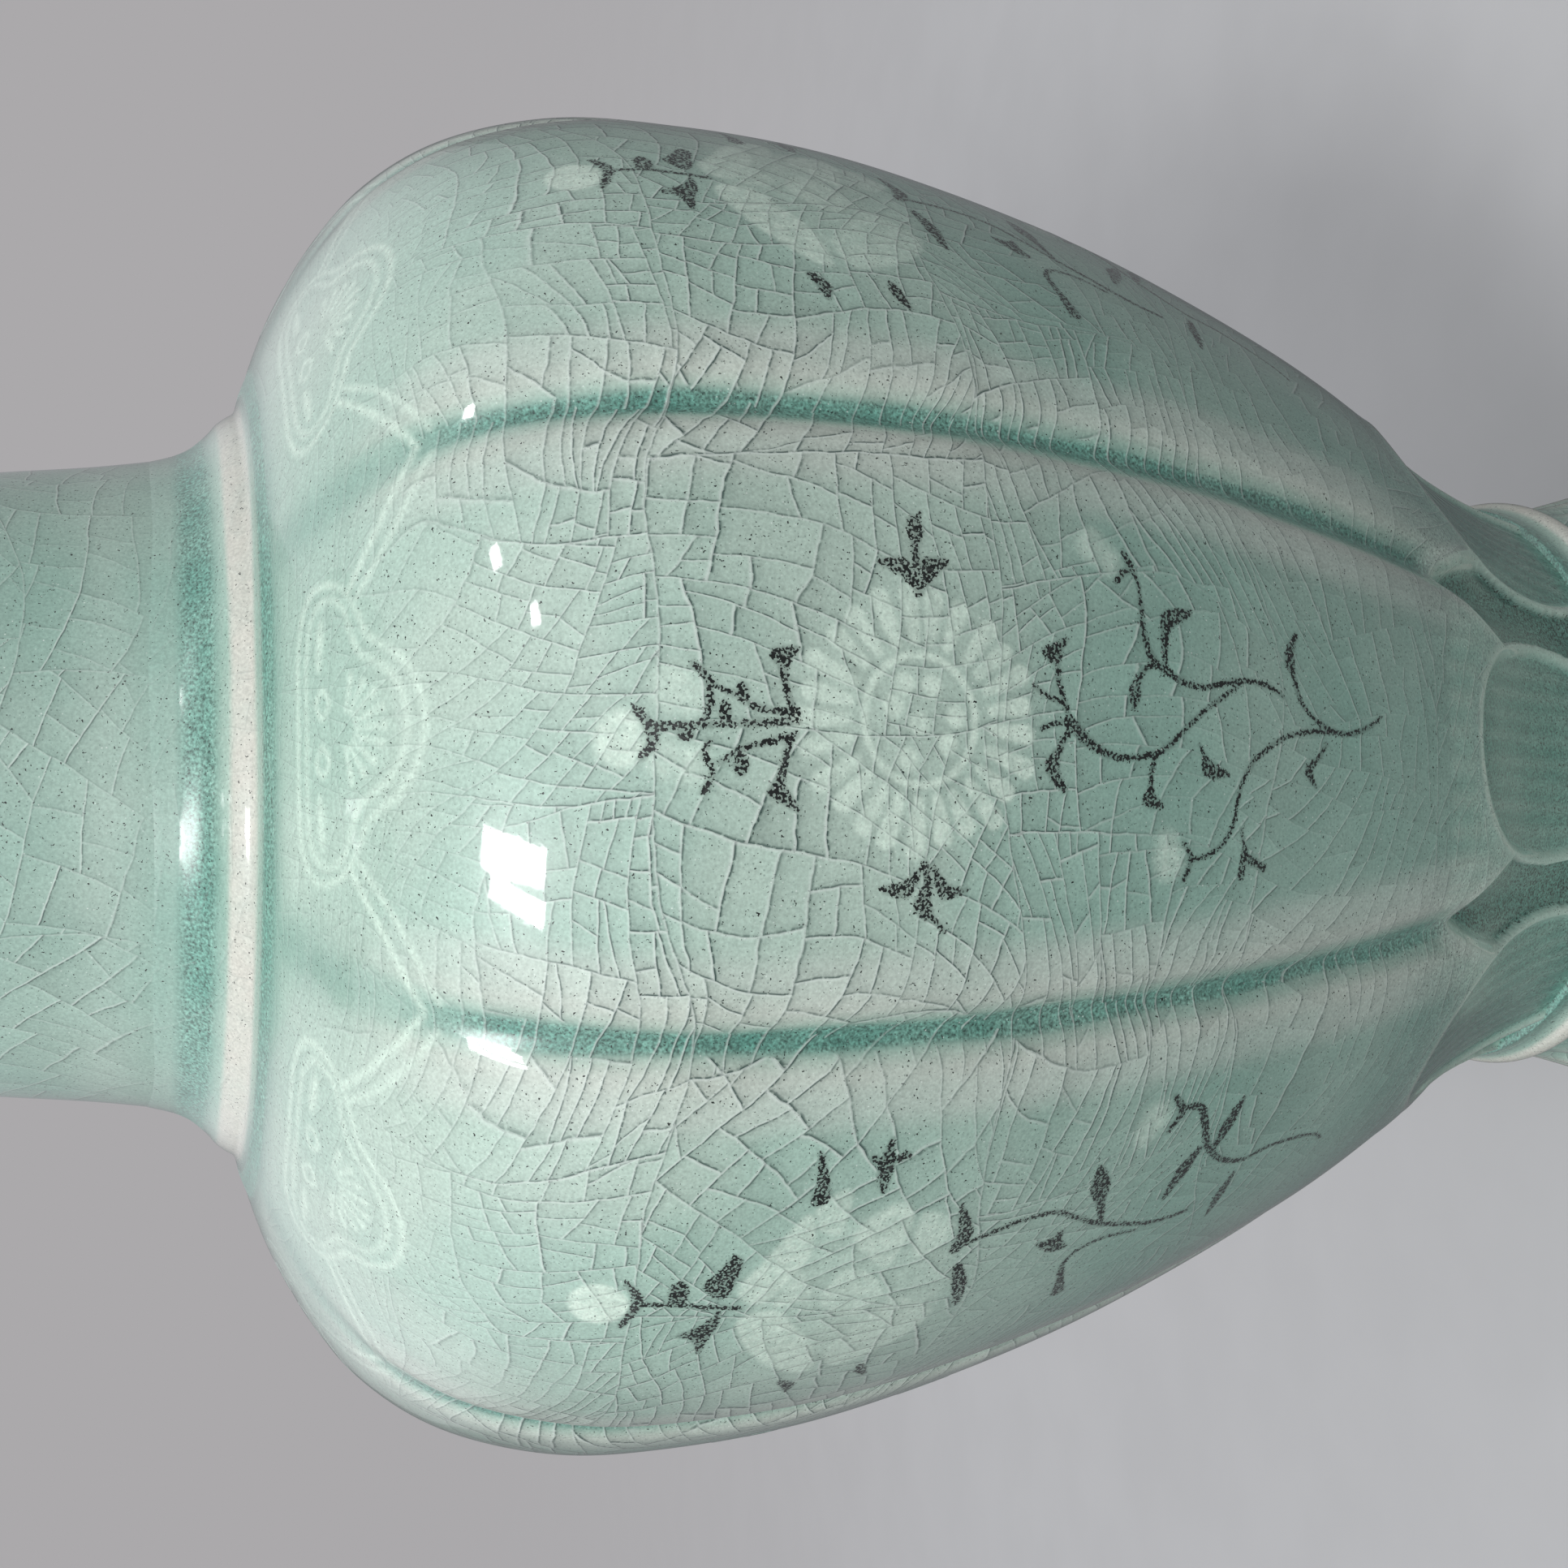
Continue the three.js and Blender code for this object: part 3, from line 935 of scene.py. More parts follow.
@dataclass(frozen=True)
class Finish:
    """A crackled celadon glaze, over bare clay or over slip inlay.

    A speck is its size, the distances at which it fades, its strength and its colour. The roll and
    the peel of the skin are each a size and a depth. The crackle brings painted shadows and painted
    highlights along its cracks, and painted shade on its plates.
    """

    slot: str = "celadon_glaze"
    grey_green: Colour = srgb(177, 198, 185)
    blue_green: Colour = srgb(163, 192, 178)
    pool: Colour = srgb(72, 134, 120)
    thin: Colour = srgb(210, 198, 187)
    pale: Colour = srgb(206, 212, 203)
    white_slip: Colour = srgb(212, 232, 217)
    black_slip: Colour = srgb(5, 12, 9)
    crack: Colour = srgb(48, 74, 68)
    crack_light: Colour = srgb(226, 236, 229)
    specks: Sequence[tuple[float, float, float, float, Colour]] = (
        (0.4, 0.1, 0.26, 0.5, srgb(70, 92, 88)),
        (0.55, 0.06, 0.16, 0.75, srgb(226, 236, 229)),
    )
    # Strengths of the crack lines with their painted shadows and of the painted highlights, then the contrast of
    # the plates' painted shade
    crack_and_shade_strength: float = 0.95
    crack_light_strength: float = 0.54
    plate_shade_contrast: float = 0.14
    blot_size: float = 26.0
    cloud_size: float = 5.0
    milk_size: float = 0.8
    grain_size: float = 0.24
    mottle_size: float = 0.26
    # How far the black value darkens the colour: a haze round black slip, and painted shade on the carved petals
    smoke_and_shade: float = 0.36
    roughness: float = 0.36
    ior: float = 1.45
    coat_ior: float = 1.5
    roll: Point = (9.0, 0.1)
    peel: Point = (0.6, 0.004)
    bump_strength: float = 0.6
    crackle: Crackle = Crackle()

    def material(self) -> bpy.types.Material:
        """The finish's material, made once.

        Returns:
            The material.
        """
        name = f"{self.slot}_finish"
        made = bpy.data.materials.get(name)
        if made is None:
            made = bpy.data.materials.new(name)
            made.use_nodes = True
            self.draw(NodeSketch(made.node_tree), made.node_tree.nodes["Principled BSDF"])
        return made

    def draw(self, sketch: NodeSketch, shader: bpy.types.Node) -> None:
        """Draws the glaze's nodes.

        Args:
            sketch: The material's tree.
            shader: The shader that the nodes feed.
        """
        place = sketch.place().scaled(1.0 / MM)
        dark, light, plate_shade_and_tone = self.crackle.draw(sketch, place)
        cloud = sketch.noise(place, self.cloud_size, 3.0, 0.6)
        blots = sketch.noise(place, self.blot_size, 3.0).step(0.38, 0.62)
        colour = sketch.mix(blots, self.grey_green, self.blue_green)
        for name, cloudy, tint in (
            ("pool", (0.2, 0.8, 0.85, 1.1), self.pool), ("thin", (0.25, 0.75, 0.7, 1.15), self.thin),
        ):
            share = sketch.value(name).do("MULTIPLY", cloud.step(*cloudy), clamp=True)
            colour = sketch.mix(share, colour, tint)
        colour = sketch.mix(sketch.value("pale"), colour, self.pale)
        colour = self.speckled(place, self.inlaid(place, colour))
        # Painted shade on each plate of the crackle, by how it leans towards the light
        colour = sketch.mix(1.0, colour, plate_shade_and_tone.fit(self.plate_shade_contrast, 1.0), "MULTIPLY")
        clear = sketch.value("black").step(0.1, 0.5, 1.0, 0.1)
        # Crack lines with their painted shadows, then the painted highlights on the cracks' lit sides
        for share, strength, tint in (
            (dark, self.crack_and_shade_strength, self.crack), (light, self.crack_light_strength, self.crack_light),
        ):
            colour = sketch.mix(share * (clear * strength), colour, tint)
        bump = self.skin(place)
        for name, value in {
            "Base Color": colour, "Roughness": self.roughness, "IOR": self.ior, "Normal": bump,
            "Coat Weight": 1.0, "Coat IOR": self.coat_ior, "Coat Normal": bump,
            "Coat Roughness": sketch.value("pool").step(0.45, 0.75, 0.05, 0.3),
        }.items():
            sketch.feed(shader.inputs[name], value)

    def inlaid(self, place: Arrow, colour: Wire) -> Wire:
        """Lays the white and the black slip under the glaze.

        Args:
            place: Where the point lies, in millimetres.
            colour: The glaze's colour.

        Returns:
            The colour with the slips, and with painted shade on the body's carved petals.
        """
        sketch = place.sketch
        milk = sketch.noise(place, self.milk_size, 2.0, 0.7).step(0.3, 0.7, 0.62, 1.2)
        white = sketch.value("white").do("MULTIPLY", milk, clamp=True)
        grain = sketch.noise(place, self.grain_size, 1.0, 0.6)
        # On the body's carved petals the black value is painted shade, so these grains and the haze darken them as
        # painted shade
        black = (grain - sketch.value("black").step(0.1, 0.85, 0.7, 0.45)).step(-0.02, 0.04)
        smoke_and_shade = sketch.value("black").step(0.05, 0.8, 0.0, self.smoke_and_shade)
        return sketch.mix(black.most(smoke_and_shade), sketch.mix(white, colour, self.white_slip), self.black_slip)

    def speckled(self, place: Arrow, colour: Wire) -> Wire:
        """Sprinkles the fine iron specks and the tiny bubbles of the glaze.

        Args:
            place: Where the point lies, in millimetres.
            colour: The glaze's colour.

        Returns:
            The colour with the specks.
        """
        sketch = place.sketch
        mottle = sketch.noise(place, self.mottle_size, 1.0, 0.6) - 0.5
        depth = sketch.value("pool").step(0.42, 0.8, 0.6, 2.8)
        colour = sketch.mix(1.0, colour, mottle.fit(depth, 1.0), "MULTIPLY")
        few = sketch.value("calm").fit(-0.7, 1.0)
        for size, near, far, strength, tint in self.specks:
            dots = sketch.node("ShaderNodeTexVoronoi", {"Vector": place, "Scale": 1.0 / size})
            often = Arrow(sketch, dots.outputs["Color"]).split()[0].step(0.35, 0.95)
            spot = Wire(sketch, dots.outputs["Distance"]).step(near, far, 1.0, 0.0)
            colour = sketch.mix(spot * (often * (few * strength)), colour, tint)
        return colour

    def skin(self, place: Arrow) -> Wire:
        """The slight unevenness of the glossy skin.

        Args:
            place: Where the point lies, in millimetres.

        Returns:
            The direction in which the skin faces.
        """
        sketch = place.sketch
        roll, peel = (sketch.noise(place, size, 1.0) * depth for size, depth in (self.roll, self.peel))
        inputs = {"Strength": self.bump_strength, "Distance": MM, "Height": roll + peel}
        return sketch.drawn("ShaderNodeBump", inputs, 0)


GLAZE = Finish()
WHITE_INLAY = Finish(slot="white_slip")
BLACK_INLAY = Finish(slot="black_slip")


@dataclass
class MelonBody:
    """The body of eight lobes, with its carved lotus petals at the bottom and its hollow inside."""

    profile_points: Sequence[Point] = (
        (28.9, 38.7), (29.6, 41.2), (30.4, 44.5), (32.4, 50.5), (36.0, 58.0), (41.2, 66.0), (46.6, 76.0),
        (51.8, 88.0), (56.2, 100.0), (59.8, 113.0), (62.2, 125.0), (63.2, 137.0), (62.8, 147.0),
        (60.0, 156.5), (55.4, 163.4), (49.4, 168.2), (42.6, 171.8), (36.0, 174.0), (30.5, 174.9),
    )
    inner_points: Sequence[Point] = (
        (25.5, 174.6), (25.5, 170.0), (38.0, 168.2), (46.5, 163.8), (52.5, 157.5), (57.0, 148.0),
        (58.2, 137.0), (56.5, 121.0), (51.5, 100.0), (42.5, 78.0), (31.5, 59.0), (24.0, 48.5), (12.0, 45.0),
    )
    groove_depth: float = 1.15
    groove_width: float = 1.9
    band: float = 1.15
    swell: float = 0.9
    petal_half: Sequence[Point] = (
        (0.0, 68.6), (5.0, 68.0), (9.5, 66.2), (13.0, 63.6), (15.8, 60.4), (17.8, 56.0), (18.2, 51.5),
        (17.0, 47.0), (14.5, 43.2), (10.0, 39.0), (0.0, 36.0),
    )
    back_petal_half: Sequence[Point] = (
        (0.0, 69.3), (2.6, 67.4), (5.8, 63.6), (8.6, 59.5), (10.4, 54.0), (10.0, 47.0), (7.0, 40.0), (0.0, 36.0),
    )
    rim_width: float = 0.9
    petal_depth: float = 0.6
    back_petal_depth: float = 0.3
    lip_height: float = 0.12
    groove_pool: float = 0.84
    ring_pool: float = 0.82
    petal_pool: float = 0.72
    back_petal_pool: float = 0.86
    petal_shade: float = 0.34
    back_petal_shade: float = 0.5
    shoulder_calm: float = 0.86
    petals_top: float = 73.0
    fine_top: float = 72.0
    columns: int = 88
    inner_lobing: float = 0.012
    poles: Point = (38.7, 44.6)
    profile: Profile = field(init=False)

    def __post_init__(self) -> None:
        """Measures the outer profile."""
        self.profile = Profile(self.profile_points, BODY_FIELD)

    def petal(self, half: Sequence[Point]) -> Pocket:
        """A lotus petal's outline.

        Args:
            half: Its right half, as angles in degrees and heights, from the tip down.

        Returns:
            The outline, in millimetres across and as runs.
        """
        runs = [self.profile.run_at(height) for _, height in half]
        right = [(math.radians(turn) * float(self.profile.radius(run)), run) for (turn, _), run in zip(half, runs)]
        return Pocket(right + [(-x, run) for x, run in reversed(right[1:-1])])

    def petal_inside(self, angle: Array, run: Array) -> tuple[Array, Array]:
        """How far points lie inside the lotus petals, below zero outside them.

        Args:
            angle: Their angles.
            run: Their runs.

        Returns:
            How far they lie inside the front petals, and inside the back ones.
        """
        low = run < self.profile.run_at(self.petals_top)
        depths = []
        for half, offset in ((self.petal_half, 0.0), (self.back_petal_half, HALF_LOBE)):
            depth = np.full(angle.shape, -9.0)
            x = off_crown(angle + offset) * self.profile.radius(run)
            depth[low] = -self.petal(half).distance(x[low], run[low])
            depths.append(depth)
        return depths[0], depths[1]

    def groove_arc(self, angle: Array, run: Array) -> Array:
        """How far points lie from the nearest groove, along the surface."""
        return np.abs(off_crown(angle + HALF_LOBE)) * self.profile.radius(run)

    def relief(self, angle: Array, run: Array) -> Array:
        """How far the surface stands off the plain profile.

        Args:
            angle: The angles of its points.
            run: Their runs.

        Returns:
            The height of the relief, below zero where it is carved in.
        """
        height = self.profile.height(run)
        across = np.abs(off_crown(angle)) / HALF_LOBE
        from_top = self.profile.length - run
        fade = smoothstep(from_top, 14.0, 56.0) * (0.25 + 0.75 * smoothstep(height, 55.0, 70.0))
        groove = self.groove_depth * bell(self.groove_arc(angle, run), self.groove_width)
        swell = self.swell * across**2.4 * self.profile.radius(run) / BODY_FIELD
        front, back = self.petal_inside(angle, run)
        inside = np.where(front > 0.0, front, back)
        sunk = self.petal_depth * smoothstep(inside, self.rim_width * 0.6, self.rim_width * 1.8)
        step = np.where(front > 0.0, 0.0, self.back_petal_depth) * smoothstep(back, 0.0, 0.5)
        lip = self.lip_height * bell(np.maximum(front, back), 0.9)
        return -(groove + swell) * fade + (lip - sunk - step) * smoothstep(height, 40.0, 44.0)

    def glaze(self, angle: Array, run: Array) -> Glaze:
        """Where the glaze pools, where it runs thin, and where it is pale.

        Args:
            angle: The angles of the points.
            run: Their runs.

        Returns:
            The glaze's values, between 0 and 1. Some also hold painted shade and light.
        """
        height = self.profile.height(run)
        radius = self.profile.radius(run)
        arc = self.groove_arc(angle, run)
        front, back = self.petal_inside(angle, run)
        inside = np.where(front > 0.0, front, back)
        outside = np.maximum(front, back)
        carved = outside > 0.0
        body = smoothstep(-outside, -0.2, 0.6)
        sway = 0.5 + 0.25 * np.sin(height / 7.3 + 2.0 * np.sin(angle * 4.0))
        sway = sway + 0.25 * np.sin(height / 3.1 + angle * 12.0)
        from_top = self.profile.length - run
        deep = smoothstep(from_top, 17.0, 36.0)
        fall = smoothstep(height, 50.0, 84.0) * smoothstep(from_top, 14.0, 34.0)
        wide = self.band * (0.8 + 0.4 * sway)
        faint = 0.36 * bell(arc, 3.0) * (1.0 - deep) * smoothstep(from_top, 4.0, 10.0) * (0.7 + 0.6 * sway)
        groove = np.maximum(self.groove_pool * smoothstep(wide - arc, -0.5, 0.5) * deep, faint)
        ring = self.ring_pool * bell(np.hypot(radius - NECK_CREST[0], height - NECK_CREST[1]) - 3.4, 2.5)
        petal = np.where(front > 0.0, self.petal_pool, self.back_petal_pool)
        petal = petal * smoothstep(inside, self.rim_width * 0.7, 1.9)
        petal = petal + 0.14 * bell(inside - 1.45, 0.4)
        veins = 0.09 * np.cos(off_crown(angle) * radius * 2.9) * smoothstep(front, 1.5, 3.0)
        # Deeper pool low on the body: the glaze is more teal there, and this is also painted shade on the lower
        # belly
        low_teal_and_shade = 0.4 * (1.0 - smoothstep(height, 100.0, 138.0)) + 0.2 * (1.0 - smoothstep(height, 66.0, 84.0))
        # A pale band on the ridges beside each groove: partly thinner glaze, partly painted light on the ridges'
        # sides
        groove_pale_and_light = smoothstep(arc, wide + 0.1, wide + 1.6) * (1.0 - smoothstep(arc, 5.2, 8.4))
        groove_pale_and_light = groove_pale_and_light * (0.4 + 0.16 * sway) * fall
        milky = 0.1 * smoothstep(height, 158.0, 168.0) * (1.0 - 1.5 * ring) * (1.0 - 0.6 * bell(arc, 3.0))
        edge = (0.12 + 0.36 * bell(arc - 2.5, 3.0)) * bell(np.minimum(outside, 0.0) + 0.6, 1.8) * (outside <= 0.3)
        rims = 0.14 * bell(inside - 0.3, 0.35) * carved
        shade = np.where(front > 0.0, self.petal_shade, self.back_petal_shade)
        glaze = {
            "pool": np.maximum(np.maximum(groove * body, ring), low_teal_and_shade * body) + (petal + veins) * carved,
            "thin": 0.22 * bell(arc - 2.7, 1.2) * fall * body,
            "pale": np.maximum(np.maximum(edge, rims), np.maximum(groove_pale_and_light, milky)),
            "calm": self.shoulder_calm * smoothstep(height, 150.0, 167.0) + smoothstep(66.0 - height, 0.0, 4.0),
            # Painted shade on the carved petals, held as the black value, which darkens them towards the black
            # slip colour
            "black": shade * smoothstep(inside, self.rim_width * 0.7, 2.2) * carved,
        }
        return {key: np.clip(values, 0.0, 1.0) for key, values in glaze.items()}

    def place(self, angle: Array, run: Array, lift: float | Array = 0.0) -> Array:
        """Puts points on the carved surface, or a little off it."""
        return self.profile.place(angle, run, self.relief(angle, run) + lift)

    def facing(self, angle: Array, run: Array) -> Array:
        """The directions in which the carved surface faces.

        Args:
            angle: The angles of its points.
            run: Their runs.

        Returns:
            The directions, one unit long.
        """
        round_it = self.place(angle + 0.004, run) - self.place(angle - 0.004, run)
        up_it = self.place(angle, run + 0.25) - self.place(angle, run - 0.25)
        out = np.cross(round_it, up_it)
        return out / np.linalg.norm(out, axis=-1, keepdims=True)

    def build(self) -> None:
        """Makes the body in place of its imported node."""
        angles = lobe_angles(self.columns, 0.45)
        fine = self.profile.run_at(self.fine_top)
        runs = np.append(np.linspace(0.0, fine, 100, endpoint=False), np.linspace(fine, self.profile.length, 130))
        angle, run = np.meshgrid(angles[:-1], runs)
        inner = through(self.inner_points, 46)
        lobed = 1.0 - self.inner_lobing * (1.0 - np.cos(off_crown(angles[:-1]) * LOBES)) / 2.0
        inside = around_axis(angles[:-1], inner[:, :1] * lobed, inner[:, 1:])
        inner_weave = self.profile.weaves[-1] + 5.0 + np.cumsum(steps_along(inner))
        weave = np.append(self.profile.weave(runs), inner_weave)
        dull = np.full(inside.shape[:2], INSIDE_GLAZE)
        glaze = {key: np.vstack([values, dull]) for key, values in self.glaze(angle, run).items()}
        rings = np.concatenate([self.place(angle, run), inside])
        glazed("melon_body", rings, crackle_across(angles, BODY_FIELD), weave, glaze, self.poles)


@dataclass
class NeckAndMouth:
    """The plain neck that flares to a mouth of eight petals."""

    outer_points: Sequence[Point] = (
        (30.4, 174.6), (30.2, 178.0), (29.9, 180.0), (28.9, 187.0), (28.1, 195.0), (27.0, 205.0),
        (26.1, 215.0), (26.4, 223.0), (28.0, 231.5), (31.4, 240.0), (36.8, 248.0), (42.4, 252.9), (45.0, 254.9),
    )
    lip_points: Sequence[Point] = ((45.0, 254.9), (45.5, 255.6), (45.1, 256.0), (44.1, 255.9), (43.2, 255.2))
    inner_points: Sequence[Point] = (
        (43.2, 255.2), (39.6, 252.0), (34.0, 245.5), (29.0, 237.0), (25.4, 228.5), (23.2, 219.5), (22.8, 210.0),
        (24.0, 198.0), (25.0, 186.0), (25.5, 174.6),
    )
    notch: float = 3.4
    columns: int = 40
    weave_start: Point = (200.0, -100.0)

    def notch_at(self, angle: Array, height: Array) -> Array:
        """How far the mouth is drawn in between its petals."""
        across = np.abs(off_crown(angle)) / HALF_LOBE
        return self.notch * across**3 * smoothstep(height, 222.0, 256.0)

    def build(self) -> None:
        """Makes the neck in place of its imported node."""
        angles = lobe_angles(self.columns, 0.35)
        outer = through(self.outer_points, 150)
        section = np.vstack([outer, through(self.lip_points, 10)[1:], through(self.inner_points, 90)[1:]])
        angle, radius, height = turned_section(section, angles)
        dip = self.notch_at(angle, height)
        wave = bell(dip - self.notch, 1.2) * smoothstep(height, 246.0, 256.0)
        weave = np.cumsum(steps_along(section) * np.sqrt(NECK_FIELD / section[:, 0]))
        outside = np.arange(len(section))[:, None] < len(outer) + 9
        valley = 0.45 * bell(off_crown(angle + HALF_LOBE) * radius, 1.6) * smoothstep(height, 236.0, 250.0)
        above = pool_above(np.hypot(NECK_CREST[0] - radius, height - NECK_CREST[1]))
        glaze = {
            # Inside the neck, painted shade: the pool value grows towards the bottom
            "pool": np.where(outside, above + valley, 0.35 * smoothstep(230.0 - height, 0.0, 60.0)),
            "thin": 0.75 * smoothstep(height, 253.6, 255.8),
            "pale": 0.04 + 0.14 * bell(height - 186.0, 2.6) * outside,
            "calm": 0.1 + 0.8 * bell(np.maximum(height - 182.0, 0.0), 3.0),
        }
        rings = around_axis(angle, radius - dip, height - wave)
        across = self.weave_start[0] + angles * WEAVE_PER_RADIAN
        glazed("neck_and_mouth", rings, across, weave + self.weave_start[1], glaze)


class Joint(Enum):
    """The two raised rings."""

    NECK = "neck_ring"
    WAIST = "waist_ring"


@dataclass
class RaisedRing:
    """A ring of clay round a joint, with glaze pooled on both its sides."""

    joint: Joint
    crest: Point
    back_radius: float
    outer_points: Sequence[Point]
    columns: int = 256
    unevenness: float = 0.3
    weave_start: float = 500.0

    def build(self) -> None:
        """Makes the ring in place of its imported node."""
        outer = through(self.outer_points, 44)
        back = np.linspace([self.back_radius, outer[-1, 1]], [self.back_radius, outer[0, 1]], 5)
        section = np.vstack([outer, back])
        angles = even_angles(self.columns)
        angle, radius, height = turned_section(section, angles)
        uneven = 0.1 * np.sin(3.0 * angle + 1.0) + 0.07 * np.sin(7.0 * angle)
        rings = around_axis(angle, radius + self.unevenness * uneven, height)
        gap = np.hypot(radius - self.crest[0], height - self.crest[1])
        thin = 1.0 - smoothstep(gap + uneven, 0.9, 1.7)
        near = np.minimum(gap, 3.8)
        upper, lower = pool_above(gap) * bell(near - 3.8, 1.6), 0.8 * bell(near - 3.2, 1.6)
        pool = np.where(height > self.crest[1], upper, lower)
        # The crest is pale where the glaze runs thin over it, and its pale value is raised further as a painted
        # highlight
        glaze = {"pool": pool, "thin": 0.75 * thin, "pale": 0.4 * thin, "calm": 1.0}
        across = self.weave_start + angles * WEAVE_PER_RADIAN
        glazed(self.joint.value, rings, across, np.cumsum(steps_along(section)), glaze)


@dataclass
class FootSkirt:
    """The pleated foot, hollow underneath."""

    outer_points: Sequence[Point] = (
        (46.3, 0.0), (46.9, 0.5), (46.4, 1.7), (42.6, 4.8), (38.0, 12.0), (34.2, 21.0), (31.5, 30.0),
        (29.9, 36.4), (28.8, 38.2),
    )
    inner_points: Sequence[Point] = (
        (0.5, 34.0), (19.5, 33.8), (24.6, 31.0), (28.4, 22.0), (33.0, 12.0), (38.0, 4.5), (41.6, 0.6), (42.4, 0.0),
    )
    pleats: int = 32
    pleat_depth: float = 1.5
    pleats_top: float = 36.5
    columns_per_pleat: int = 16
    poles: Point = (34.0, 38.2)
    weave_start: float = 900.0

    def build(self) -> None:
        """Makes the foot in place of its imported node."""
        angles = even_angles(self.pleats * self.columns_per_pleat)
        under = through(self.inner_points, 40)
        section = np.vstack([under, through(self.outer_points, 110)])
        angle, radius, height = turned_section(section, angles)
        across = np.abs(off_crown(angle, self.pleats)) / (math.pi / self.pleats)
        outside = np.arange(len(section))[:, None] >= len(under)
        below = smoothstep(self.pleats_top - height, 0.0, 7.0) * outside
        rings = around_axis(angle, radius - self.pleat_depth * across**1.7 * below, height)
        pool = (0.2 + 0.6 * smoothstep(across, 0.55, 1.0) * below + 0.45 * bell(height - 36.6, 1.8)) * outside
        thin = 0.6 * (1.0 - smoothstep(across, 0.05, 0.5)) * below
        hem = smoothstep(1.6 - height, 0.0, 1.2)
        glaze = {"pool": pool * (1.0 - 0.6 * hem), "thin": thin * (1.0 - hem) + 0.7 * hem, "pale": 0.1}
        start = self.weave_start + angles * WEAVE_PER_RADIAN
        glazed("foot_skirt", rings, start, np.cumsum(steps_along(section)), glaze, self.poles)


NECK_RING = RaisedRing(
    Joint.NECK, NECK_CREST, 28.5,
    (
        (38.6, 173.18), (36.6, 174.0), (35.2, 174.35), (34.3, 174.75), (33.85, 175.45), (33.2, 176.3),
        (32.4, 176.95), (31.6, 177.75), (30.9, 178.6), (30.32, 179.7), (29.93, 180.9), (29.64, 182.0),
        (29.2, 183.4),
    ),
)
WAIST_RING = RaisedRing(
    Joint.WAIST, WAIST_CREST, 27.5,
    (
        (29.6, 35.9), (29.9, 37.0), (30.5, 37.9), (31.1, 39.0), (31.0, 40.0), (30.4, 40.9), (30.15, 42.0),
        (30.35, 43.6),
    ),
)


class Group(Enum):
    """The sets of marks in a lobe, each one piece of inlay."""

    FLOWER = "flower"
    RUYI = "ruyi_head"
    BUDS = "buds"
    SPRAY = "leaf_spray"
    SCROLL = "scrolling_stem"
    LEAVES = "side_leaves"


WHITE_GROUPS = (Group.FLOWER, Group.RUYI, Group.BUDS)
NODES = {
    Group.FLOWER: "flower_inlay",
    Group.RUYI: "ruyi_inlay",
    Group.BUDS: "bud_inlay",
    Group.SPRAY: "spray_inlay",
    Group.SCROLL: "scroll_inlay",
}

Drawing = dict[Group, list[Mark]]


def ruyi_marks() -> list[Mark]:
    """A cloud head on the shoulder, drawn in double line, with lines out to the grooves.

    Returns:
        Its marks.
    """
    half = (
        (4.5, 51.5), (8.2, 51.0), (10.7, 49.4), (11.3, 47.2), (10.6, 45.0), (8.6, 43.4), (6.9, 42.5),
        (6.0, 41.0), (5.0, 39.2), (3.0, 37.5),
    )
    inner = (
        (4.5, 50.2), (7.6, 49.8), (9.5, 48.6), (10.1, 47.0), (9.4, 45.3), (7.6, 44.4), (5.8, 43.5),
        (4.9, 42.0), (4.0, 40.3), (2.3, 38.9),
    )
    marks: list[Mark] = []
    for side, tip, strength in ((half, 36.8, 0.72), (inner, 38.4, 0.62)):
        loop = [(0.0, side[0][1]), *side, (0.0, tip), *((-x, y) for x, y in reversed(side))]
        marks.append(Stroke(loop, (0.5, 0.5), Slip.WHITE, strength, closed=True, blur=1.4))
    right: list[Mark] = [
        Stroke([(3.2, 48.0), (2.2, 48.8), (1.1, 48.0), (2.2, 47.1)], (0.5, 0.5), Slip.WHITE, 0.66, closed=True),
        oval((6.6, 48.2), 2.0, 0.5, Slip.WHITE, 0.7, -0.12, 1.5),
        evenly([(10.3, 44.5), (14.6, 41.2), (18.3, 38.7), (21.4, 36.9)], 0.55, Slip.WHITE, 0.66),
        evenly([(9.7, 43.6), (13.6, 40.0), (17.2, 37.5), (20.7, 35.5)], 0.5, Slip.WHITE, 0.58),
    ]
    fan: list[Mark] = []
    for turn in (-78, -59, -40, -20, 0, 20, 40, 59, 78):
        across, along = math.sin(math.radians(turn)), math.cos(math.radians(turn))
        ray = [(reach * across, 45.3 - drop * along) for reach, drop in ((1.5, 1.5), (3.9, 4.6))]
        fan.append(Stroke(ray, (0.35, 0.7), Slip.WHITE, 0.6))
    return marks + right + mirrored(right) + fan


